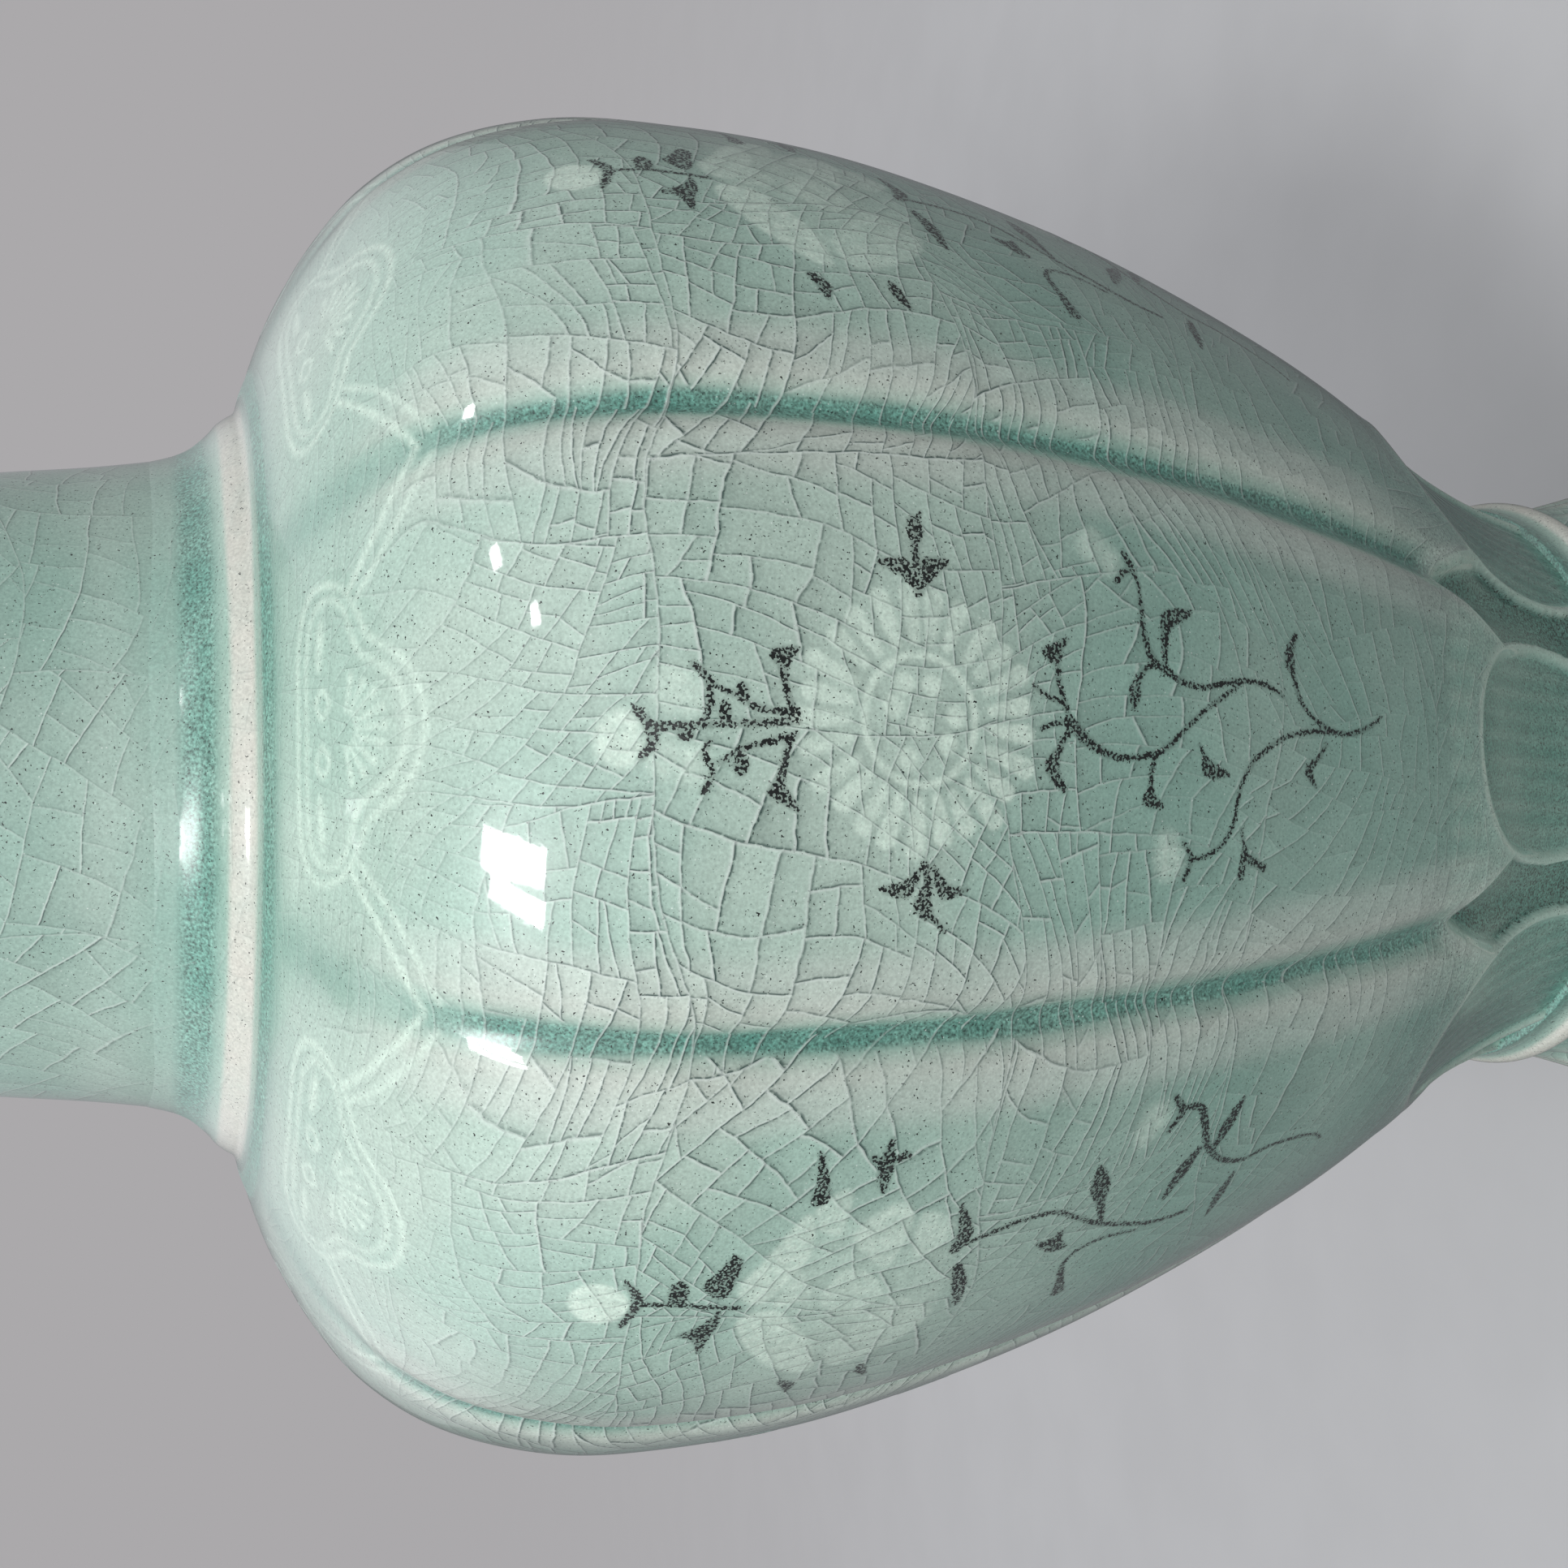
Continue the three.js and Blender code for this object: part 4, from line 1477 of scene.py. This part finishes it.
def chrysanthemum_marks() -> list[Mark]:
    """A flower head seen from above: a ring of long petals round a disc with seven seeds.

    Returns:
        Its marks.
    """
    centre = (-0.6, 0.0)
    marks: list[Mark] = []
    petals = 25
    chance = np.random.default_rng(7)
    for number in range(petals):
        turn = 2.0 * math.pi * number / petals + float(chance.uniform(-0.03, 0.03))
        reach = 9.5 + float(chance.uniform(-0.5, 0.4))
        ray = (math.sin(turn), math.cos(turn))
        route = [(centre[0] + ray[0] * r, centre[1] + ray[1] * r) for r in (5.85, 7.4, reach - 0.5)]
        strength = 0.76 + float(chance.uniform(0.0, 0.24))
        marks.append(Stroke(route, (0.8, 1.3, 1.6), Slip.WHITE, strength, blur=0.6))
    turns = np.linspace(0.0, 2.0 * math.pi, 12, endpoint=False)
    ring = [(centre[0] + 4.75 * math.sin(turn), 0.1 + 4.45 * math.cos(turn)) for turn in turns]
    marks.append(Stroke(ring, (0.6, 0.6), Slip.WHITE, 1.0, closed=True, blur=0.6))
    seeds = ((0.4, 2.3), (1.9, -0.9), (-2.3, -2.0), (-0.9, 0.2), (-3.5, 1.2), (-0.3, -2.8), (2.0, 1.4))
    marks.extend(oval(seed, 0.9, 0.85, Slip.WHITE, 0.95, blur=0.9) for seed in seeds)
    marks.append(oval(centre, 9.4, 9.2, Slip.WHITE, 0.12, blur=2.0))
    return marks


def chrysanthemum_lobe() -> Drawing:
    """What is inlaid in a lobe with a chrysanthemum, round the flower's middle.

    Returns:
        The marks of each set.
    """
    buds = ovals(
        Slip.WHITE,
        (-2.0, 22.3, 2.1, 1.8, 0.85, 1.6), (1.6, 18.6, 1.7, 1.5, 0.62, 2.2), (0.7, 17.2, 1.2, 1.1, 0.5, 2.2),
        (-3.4, 19.1, 1.4, 1.3, 0.5, 2.2), (-3.9, 17.3, 1.5, 1.2, 0.62, 2.2), (13.7, -16.5, 1.5, 1.4, 0.55, 2.2),
        (12.6, -17.8, 1.4, 1.2, 0.5, 2.2), (-10.8, -22.6, 1.6, 1.5, 0.6, 2.2), (-9.8, -22.3, 1.3, 1.2, 0.5, 2.2),
    )
    spray = [
        Stroke([(-0.8, 9.6), (-1.0, 13.0), (-1.1, 16.5), (-1.2, 20.2)], (0.65, 0.5, 0.5, 0.75)),
        Stroke([(0.2, 21.2), (-1.2, 20.2), (-2.3, 20.0), (-3.3, 20.8)], (0.5, 0.9, 0.9, 0.5)),
        Stroke([(-0.1, 9.9), (1.6, 10.4), (3.4, 10.6)], (0.5, 0.5, 0.9)),
        Pocket([(2.8, 10.3), (3.5, 11.4), (4.4, 11.2), (4.5, 9.2), (3.6, 9.9)]),
        Stroke([(-1.9, 10.1), (-3.6, 10.6), (-5.4, 11.0)], (0.5, 0.5, 0.9)),
        Pocket([(-4.9, 11.2), (-5.9, 12.0), (-6.6, 10.9), (-7.3, 9.5), (-5.7, 10.3)]),
        Stroke([(-0.2, 9.6), (0.0, 12.2), (0.9, 13.9), (1.7, 15.5), (2.9, 16.7)], (0.6, 0.5, 0.45, 0.4, 0.6)),
        evenly([(3.2, 17.0), (2.3, 16.1), (0.4, 15.9), (-0.7, 16.4)], 0.55),
        evenly([(-1.8, 9.8), (-2.4, 12.3), (-2.9, 14.0), (-3.8, 15.4)], 0.45),
        evenly([(-2.3, 16.1), (-3.3, 16.4), (-4.3, 15.8), (-5.8, 16.5)], 0.5),
        *ovals(
            Slip.BLACK,
            (1.2, 13.6, 0.8, 0.5, 1.0, 1.0), (-3.9, 13.8, 0.8, 0.6, 1.0, 1.0), (-0.2, 14.9, 0.9, 0.5, 0.9, 1.0),
            (-1.7, 17.7, 0.6, 0.7, 0.9, 1.0),
        ),
    ]
    leaves = [
        Stroke([(8.9, -0.3), (12.2, -0.4), (13.6, -0.6), (14.4, -0.6)], (0.8, 0.5, 1.3, 1.2)),
        evenly([(14.4, -0.7), (15.2, -1.2)], 0.35),
        Pocket([(11.1, 2.9), (11.5, 1.5), (11.3, 0.2), (8.9, -0.1), (10.0, 0.9)]),
        Pocket([(11.4, -3.2), (11.7, -1.8), (11.3, -0.8), (9.1, -0.7), (10.2, -1.9)]),
        Stroke([(-11.0, -0.3), (-12.6, -0.6), (-14.0, -0.3), (-14.8, -0.7)], (0.6, 0.6, 1.5, 1.0)),
        evenly([(-14.7, -0.9), (-16.1, -2.2)], 0.4),
        Pocket([(-12.8, 3.3), (-13.5, 1.8), (-13.3, 0.6), (-11.1, -0.2), (-12.3, 1.3)]),
        Pocket([(-11.0, -1.0), (-13.2, -1.4), (-13.7, -2.4), (-12.9, -4.2), (-12.6, -2.4)]),
    ]
    scroll = [
        Pocket([(5.0, -10.5), (6.0, -13.1), (4.9, -12.4), (4.0, -12.1), (4.0, -11.2)]),
        evenly([(4.3, -11.8), (2.4, -11.9), (-0.4, -12.8)], 0.5),
        evenly([(2.1, -9.7), (1.4, -10.9), (1.0, -12.2)], 0.4), evenly([(-1.0, -10.1), (-0.6, -11.4),
            (-0.4, -12.8)], 0.45),
        Stroke([(-0.8, -12.9), (-2.5, -11.7), (-3.9, -11.0), (-5.6, -12.2)], (0.5, 0.6, 1.3, 0.4)),
        Stroke(
            [(-0.5, -12.8), (-1.9, -14.4), (-2.8, -16.4), (-3.0, -18.1), (-2.8, -20.1), (-2.2, -22.0),
                (-0.8, -23.9), (0.8, -26.1), (2.1, -28.4), (3.2, -30.4)],
            (1.1, 0.9, 0.6, 0.5, 0.5, 0.5, 0.45, 0.4, 0.4, 0.35),
        ),
        Stroke(
            [(12.7, -19.7), (11.0, -20.5), (8.9, -20.5), (6.8, -20.5), (4.8, -21.1), (3.8, -22.6), (2.9, -24.6),
                (2.8, -26.8), (3.3, -29.1), (3.5, -31.5), (3.1, -33.9), (2.4, -35.4)],
            (0.6, 0.4, 0.45, 0.5, 0.9, 0.7, 0.5, 0.5, 0.5, 0.45, 0.4, 0.3),
        ),
        evenly([(13.3, -19.5), (12.1, -20.1), (11.6, -19.2), (10.8, -18.3)], 0.5),
        Stroke([(4.0, -22.4), (5.7, -22.5), (7.1, -22.7), (8.0, -23.2), (8.4, -24.3),
            (8.8, -25.7)], (0.4, 0.7, 0.9, 1.5, 1.2, 0.3)),
        Stroke([(4.4, -21.7), (3.9, -20.3), (2.9, -19.4), (2.0, -19.1), (0.8, -19.0)], (0.5, 0.45, 0.7, 1.3, 0.3)),
        evenly([(-2.8, -20.9), (-4.3, -20.5), (-5.5, -20.4)], 0.5),
        Pocket([(-5.0, -20.5), (-6.2, -19.6), (-6.8, -20.3), (-6.7, -21.9), (-5.7, -20.9)]),
        Stroke(
            [(7.7, -37.7), (6.5, -36.8), (5.3, -36.5), (4.4, -36.8), (2.3, -37.4), (0.9, -38.9), (-0.1, -41.3),
                (-0.2, -43.8), (0.5, -46.4), (1.4, -48.2)],
            (0.5, 0.9, 1.3, 0.7, 0.45, 0.45, 0.5, 0.45, 0.4, 0.3),
        ),
        evenly(
            [(-0.2, -41.0), (-0.3, -38.2), (-0.8, -35.5), (-1.7, -33.5), (-2.8, -31.6), (-4.2, -30.4),
                (-6.1, -29.7), (-7.7, -29.4), (-9.4, -28.3), (-10.4, -26.7), (-10.8, -25.0)],
            0.42,
        ),
        evenly([(-9.5, -24.1), (-10.8, -24.9), (-12.3, -24.3)], 0.5),
        Pocket([(-1.6, -25.5), (-2.9, -26.6), (-4.0, -28.8), (-4.4, -27.0), (-4.0, -25.8), (-2.8, -25.8)]),
        evenly([(-8.3, -30.2), (-10.5, -30.9)], 0.35), evenly([(-10.0, -30.8), (-12.0, -30.5)], 0.8),
            evenly([(-10.6, -31.0), (-11.4, -33.1)], 0.7),
        Stroke([(-1.2, -40.6), (-2.5, -39.3), (-3.5, -38.2), (-4.8, -39.1)], (0.3, 0.45, 1.0, 0.3)),
    ]
    return {
        Group.FLOWER: chrysanthemum_marks(), Group.RUYI: ruyi_marks(), Group.BUDS: buds,
        Group.SPRAY: spray, Group.SCROLL: scroll, Group.LEAVES: leaves,
    }


def peony_lobe() -> Drawing:
    """What is inlaid in a lobe with a peony, round the flower's middle.

    Returns:
        The marks of each set.
    """
    petals = (
        ((1.3, 9.3), (3.4, 10.2), (6.1, 8.5), (10.2, 6.0), (9.0, 4.9), (5.9, 4.9), (3.6, 6.1), (1.2, 7.6)),
        ((10.6, 5.2), (11.8, 4.2), (12.2, 2.6), (10.0, 2.4), (7.7, 2.9), (8.3, 4.4)),
        ((4.3, 5.7), (3.3, 4.6), (1.3, 4.0), (0.4, 5.9), (0.8, 7.2)),
        ((-0.5, 9.5), (0.0, 6.4), (-2.6, 4.6), (-5.8, 2.4), (-10.2, 1.6), (-9.8, 3.9), (-7.2, 6.6), (-3.5, 9.0)),
        ((0.7, 3.3), (2.9, 2.6), (4.1, 0.9), (2.5, -1.1), (0.1, -2.3), (-2.3, -0.4), (-1.2, 2.1)),
        ((7.7, 1.8), (9.8, -0.4), (10.1, -2.4), (8.0, -3.3), (4.9, -2.6), (3.2, -1.8), (5.0, 0.2)),
        ((8.4, -3.7), (8.3, -5.5), (6.5, -7.1), (4.4, -6.2), (3.9, -4.0)),
        ((-0.9, -3.1), (-1.8, -5.6), (-3.9, -7.6), (-6.6, -6.5), (-9.1, -3.3), (-10.1, -0.1), (-6.9, 1.2),
            (-4.0, -0.7)),
    )
    strengths = (0.82, 0.66, 0.7, 0.84, 0.68, 0.74, 0.66, 0.62)
    flower: list[Mark] = [Pocket(petal, Slip.WHITE, strength) for petal, strength in zip(petals, strengths)]
    flower.append(oval((0.3, 0.5), 9.0, 8.4, Slip.WHITE, 0.3, blur=3.0))
    buds = ovals(
        Slip.WHITE,
        (1.2, 20.7, 2.3, 2.3, 1.0, 0.8), (11.7, -25.2, 1.6, 1.4, 0.49, 2.4), (10.6, -24.5, 1.4, 1.2, 0.49, 2.4),
    )
    spray = [
        Stroke([(4.0, 18.9), (1.9, 17.8), (-1.2, 18.7)], (0.5, 1.0, 0.5)),
        evenly([(1.6, 17.7), (1.7, 15.1), (1.2, 12.1), (0.8, 9.8)], 0.5),
        oval((2.9, 14.8), 1.5, 0.8, Slip.BLACK, 1.0),
        Pocket([(2.0, 11.5), (3.1, 12.7), (4.0, 13.0), (5.4, 12.0), (6.9, 11.1), (6.2, 10.2), (4.5, 10.5),
            (3.0, 10.7)]),
        Pocket([(0.8, 11.3), (-0.9, 12.3), (-2.3, 14.3), (-3.0, 12.9), (-5.1, 12.1), (-2.6, 11.5), (-1.3, 11.1)]),
    ]
    leaves = [
        Stroke([(11.8, 5.0), (13.4, 5.0), (15.9, 5.5)], (1.6, 1.0, 0.4)),
        Stroke([(11.6, -0.1), (13.9, 0.0), (16.3, -0.2)], (0.5, 1.5, 0.4)), evenly([(14.8, 1.1), (14.3, 0.0),
            (14.7, -1.7)], 0.65),
        Stroke([(-11.8, 3.9), (-13.0, 2.9), (-14.4, 2.8)], (0.6, 1.3, 0.4)),
        Stroke([(-11.3, -3.1), (-12.4, -3.4), (-13.8, -4.2)], (0.6, 1.2, 0.4)),
    ]
    scroll = [
        Stroke([(3.9, -7.8), (5.5, -8.3), (8.7, -7.3)], (1.2, 1.5, 0.3)),
        Stroke([(1.5, -8.5), (-1.2, -9.4), (-4.0, -9.9)], (0.9, 1.5, 0.4)),
        evenly(
            [(3.9, -7.6), (4.5, -10.3), (4.9, -12.3), (5.1, -14.5), (4.8, -17.1), (3.1, -19.8), (1.5, -22.2),
                (0.2, -25.1), (-1.0, -28.0), (-1.6, -30.5), (-1.7, -32.8)],
            0.5,
        ),
        Stroke([(1.7, -22.4), (4.3, -21.6), (6.3, -21.0), (8.5, -20.4)], (0.5, 0.9, 2.1, 0.5)),
        Pocket([(1.5, -15.9), (1.6, -17.4), (2.3, -18.4), (0.9, -18.7), (-0.2, -19.5), (-0.4, -18.1),
            (0.3, -17.0)]),
        Stroke([(-1.5, -27.0), (-0.9, -23.8), (-1.3, -21.2), (-2.2, -20.3), (-3.2, -20.0), (-5.5, -20.6),
            (-7.8, -21.2)], (0.3, 0.4, 0.4, 0.45, 0.6, 0.8, 1.4)),
        Stroke(
            [(11.8, -28.5), (11.2, -30.2), (9.3, -31.2), (6.6, -32.2), (4.0, -34.6), (2.4, -37.8), (2.5, -40.7),
                (2.0, -43.9), (0.8, -47.5), (-0.5, -49.2)],
            (0.5, 0.7, 0.8, 0.7, 0.6, 0.5, 0.45, 0.4, 0.4, 0.3),
        ),
        Stroke([(5.6, -33.2), (8.1, -34.2), (10.3, -35.4)], (0.5, 1.6, 0.4)),
        Stroke([(6.6, -31.4), (4.6, -30.2), (1.6, -29.0)], (0.5, 1.7, 0.4)),
        Stroke([(1.0, -37.4), (-1.3, -36.8), (-4.3, -36.4)], (0.4, 1.3, 0.4)),
        Stroke([(13.3, -27.0), (11.5, -28.1), (9.9, -27.1)], (0.5, 0.9, 0.5)),
    ]
    return {
        Group.FLOWER: flower, Group.RUYI: ruyi_marks(), Group.BUDS: buds,
        Group.SPRAY: spray, Group.SCROLL: scroll, Group.LEAVES: leaves,
    }


@dataclass
class LobeInlay:
    """The slip inlays of one lobe, flush with the body and under the same glaze."""

    body: MelonBody
    lobe: int
    flower_height: float = 129.5
    spacing: float = 0.21
    softness: float = 0.5
    margin: float = 2.0
    lift: float = 0.03
    lift_per_layer: float = 0.004
    sink: float = -0.008
    lean_most: float = 0.02
    grow_most: float = 0.025

    @property
    def flower(self) -> str:
        """The kind of flower in this lobe."""
        return "chrysanthemum" if self.lobe % 2 else "peony"

    def build(self) -> None:
        """Makes each set of marks as a piece of its own."""
        drawing = chrysanthemum_lobe() if self.lobe % 2 else peony_lobe()
        marks = [mark for group in drawing.values() for mark in group]
        chance = np.random.default_rng(100 + self.lobe)
        lean = float(chance.uniform(-1.0, 1.0)) * self.lean_most * (self.lobe != 1)
        grow = 1.0 + float(chance.uniform(-1.0, 1.0)) * self.grow_most * (self.lobe != 1)
        for layer, (group, own) in enumerate(drawing.items()):
            turn = (0.0, 1.0) if group is Group.RUYI else (lean, grow)
            self.piece(group, own, marks, *turn, self.lift + self.lift_per_layer * layer)

    def depths(self, marks: Sequence[Mark], x: Array, y: Array) -> list[Array]:
        """How strongly the white and the black slip of some marks show at points."""
        return [clay_depth(marks, slip, x, y, self.softness) for slip in Slip]

    def skin(self, own: Sequence[Mark]) -> tuple[Array, Array, Array]:
        """Cuts a fine grid to the shape of some marks.

        Args:
            own: The marks.

        Returns:
            Where the grid's points lie across and along, and its faces.
        """
        outlines = np.vstack([mark.outline()[0] for mark in own])
        low, high = outlines.min(axis=0) - self.margin, outlines.max(axis=0) + self.margin
        x, y = np.meshgrid(np.arange(low[0], high[0], self.spacing), np.arange(low[1], high[1], self.spacing))
        shows = np.maximum(*self.depths(own, x, y)) > 0
        kept = shows[:-1, :-1] | shows[1:, :-1] | shows[:-1, 1:] | shows[1:, 1:]
        number = np.arange(x.size).reshape(x.shape)
        faces = np.stack([number[:-1, :-1], number[:-1, 1:], number[1:, 1:], number[1:, :-1]], axis=-1)[kept]
        used, faces = np.unique(faces, return_inverse=True)
        return x.ravel()[used], y.ravel()[used], faces.reshape(-1, 4)

    def piece(
        self, group: Group, own: Sequence[Mark], marks: Sequence[Mark], lean: float, grow: float, lift: float
    ) -> None:
        """Makes one set of marks as a thin skin that follows the body.

        Args:
            group: Which set it is.
            own: Its marks.
            marks: All the marks of the lobe, which show wherever its skin lies.
            lean: How far the drawing is turned.
            grow: How much it is enlarged.
            lift: How far the skin stands off the body inside its edge.
        """
        x, y, faces = self.skin(own)
        white, black = self.depths(marks, x, y)
        profile = self.body.profile
        run = profile.run_at(self.flower_height) + grow * (x * math.sin(lean) + y * math.cos(lean))
        crown = (self.lobe - 1) * LOBE_ANGLE
        crown -= 2.0 * math.pi * (crown > math.pi - LOBE_ANGLE)
        angle = crown + grow * (x * math.cos(lean) - y * math.sin(lean)) / profile.radius(run)
        on_edge = np.bincount(faces.ravel(), minlength=len(x)) < 4
        points = self.body.place(angle, run, np.where(on_edge, self.sink, lift))
        glaze = {**self.body.glaze(angle, run), "white": white, "black": black}
        corners = profile.crackle(angle, run)[faces]
        name = f"{self.flower if group is Group.FLOWER else group.value}_{self.lobe}"
        made = metres_mesh(name, points, faces, corners, glaze, normals=self.body.facing(angle, run))
        nodes = (f"{NODES[group]}_{self.lobe}",) if group in NODES else ()
        ride_as(made, WHITE_INLAY if group in WHITE_GROUPS else BLACK_INLAY, *nodes)


@dataclass(frozen=True)
class Viewpoint:
    """The camera at the photograph's viewing angle, rolled a quarter turn because the vase lay down."""

    place: Place = (0.0037, -0.2092, 0.1854)
    tilt: float = 0.3006
    pitch: float = 0.0171
    roll: float = -0.0039
    turn: float = -0.1004
    lens: float = 49.8

    def build(self) -> None:
        """Makes the camera and gives it to the scene."""
        across, level = math.sin(self.pitch), math.cos(self.pitch)
        ahead = Vector((-across, math.cos(self.tilt) * level, -math.sin(self.tilt) * level)).normalized()
        up = Vector((0.0, -math.sin(self.tilt), -math.cos(self.tilt))).cross(ahead).normalized()
        right = ahead.cross(up).normalized()
        right, up = (
            right * math.cos(self.roll) - up * math.sin(self.roll),
            up * math.cos(self.roll) + right * math.sin(self.roll),
        )
        matrix = Matrix((right, up, -ahead)).transposed().to_4x4()
        matrix.translation = Vector(self.place)
        data = bpy.data.cameras.new("view")
        data.lens = self.lens
        data.sensor_width = 36.0
        data.clip_start = 0.01
        camera = bpy.data.objects.new("view", data)
        camera.matrix_world = Matrix.Rotation(self.turn, 4, "Z") @ matrix
        bpy.context.scene.collection.objects.link(camera)
        bpy.context.scene.camera = camera


@dataclass(frozen=True)
class Lamp:
    """A flat lamp that faces a point of the vase."""

    name: str
    place: Place
    aim: Place
    width: float
    height: float
    power: float

    def build(self) -> None:
        """Adds the lamp."""
        data = bpy.data.lights.new(self.name, "AREA")
        data.shape = "RECTANGLE"
        data.size = self.width
        data.size_y = self.height
        data.energy = self.power
        lamp = bpy.data.objects.new(self.name, data)
        lamp.location = self.place
        lamp.rotation_mode = "QUATERNION"
        lamp.rotation_quaternion = (Vector(self.aim) - Vector(self.place)).to_track_quat("-Z", "Y")
        bpy.context.scene.collection.objects.link(lamp)


@dataclass
class Studio:
    """The pale floor, the even light round the vase and its lamps."""

    floor_colour: Colour = srgb(183, 183, 184)
    bounce_colour: Colour = srgb(108, 109, 110)
    far_colour: Colour = srgb(171, 169, 171)
    sky_colour: Colour = srgb(250, 251, 255)
    sky_low: float = 0.2
    sky_high: float = 0.5
    sky_left: float = 1.0
    sky_right: float = 0.36
    sky_back: float = 0.4
    sky_front: float = 0.72
    floor_size: float = 12.0
    floor_gap: float = 0.0002
    floor_roughness: float = 0.85
    lamps: tuple[Lamp, ...] = (
        Lamp("upper_pane", (-0.268, -0.678, 0.907), (-0.01, -0.058, 0.158), 0.112, 0.42, 3.8),
        Lamp("lower_pane", (-0.378, -0.651, 0.867), (-0.01, -0.058, 0.158), 0.075, 0.36, 2.5),
        Lamp("small_lamp_1", (0.491, -0.502, 0.862), (0.01, -0.058, 0.158), 0.07, 0.05, 0.35),
        Lamp("small_lamp_2", (0.367, -0.745, 0.755), (0.01, -0.058, 0.158), 0.07, 0.05, 0.35),
    )

    def build(self) -> None:
        """Makes the floor, the world and the lamps."""
        bpy.ops.mesh.primitive_plane_add(size=self.floor_size, location=(0.0, 0.0, -self.floor_gap))
        floor = bpy.context.active_object
        floor.name = "floor"
        floor.data.materials.append(self.floor_paint())
        bpy.context.scene.world = self.world()
        for lamp in self.lamps:
            lamp.build()

    def world(self) -> bpy.types.World:
        """The soft light from all sides, stronger from some of them.

        Returns:
            The world, which the camera sees as a plain grey.
        """
        world = bpy.data.worlds.new("studio")
        world.use_nodes = True
        sketch = NodeSketch(world.node_tree)
        side, back, up = sketch.place("Generated").split()
        total = up.step(-0.3, 1.0, self.sky_low, self.sky_high)
        risen = up.step(-0.02, 0.4, 0.15, 1.0)
        for way, sign, strength in (
            (side, -1.0, self.sky_left), (side, 1.0, self.sky_right),
            (back, 1.0, self.sky_back), (back, -1.0, self.sky_front),
        ):
            share = way.do("MULTIPLY", sign, clamp=True).do("POWER", 2.0) * risen
            total = share.fit(strength, total)
        soft = world.node_tree.nodes["Background"]
        sketch.feed(soft.inputs["Color"], self.sky_colour)
        sketch.feed(soft.inputs["Strength"], total)
        plain = sketch.drawn("ShaderNodeBackground", {"Color": self.far_colour}, 0)
        inputs = {0: sketch.seen(), 1: Wire(sketch, soft.outputs[0]), 2: plain}
        mixed = sketch.drawn("ShaderNodeMixShader", inputs, 0)
        sketch.feed(world.node_tree.nodes["World Output"].inputs["Surface"], mixed)
        return world

    def floor_paint(self) -> bpy.types.Material:
        """A matt pale paint that fades into the background far off.

        Returns:
            The paint.
        """
        made = bpy.data.materials.new("floor_paint")
        made.use_nodes = True
        sketch = NodeSketch(made.node_tree)
        place = sketch.place()
        seen = sketch.seen()
        grain = sketch.noise(place, 0.02, 4.0).step(0.3, 0.7, 0.985, 1.015)
        tint = sketch.mix(1.0, self.floor_colour, grain, "MULTIPLY")
        shader = made.node_tree.nodes["Principled BSDF"]
        sketch.feed(shader.inputs["Roughness"], self.floor_roughness)
        sketch.feed(shader.inputs["Base Color"], sketch.mix(seen, self.bounce_colour, tint))
        glow = sketch.drawn("ShaderNodeEmission", {"Color": self.far_colour}, 0)
        far_off = sketch.math("DIVIDE", 0.2, place.do("LENGTH")).step(0.05, 0.75, 1.0, 0.0)
        inputs = {0: far_off * seen, 1: Wire(sketch, shader.outputs[0]), 2: glow}
        mixed = sketch.drawn("ShaderNodeMixShader", inputs, 0)
        sketch.feed(made.node_tree.nodes["Material Output"].inputs["Surface"], mixed)
        return made


def main() -> None:
    """Builds the camera, the studio and the vase, and reports each piece."""
    logging.basicConfig(level=logging.INFO)
    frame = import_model()
    LOG.info("%d packed nodes", len(frame["nodes"]))
    bpy.context.scene.view_settings.view_transform = "Standard"
    body = MelonBody()
    for part in (Viewpoint(), Studio(), body, NeckAndMouth(), FootSkirt(), NECK_RING, WAIST_RING):
        part.build()
    for lobe in range(1, LOBES + 1):
        LobeInlay(body, lobe).build()


if __name__ == "__main__":
    main()
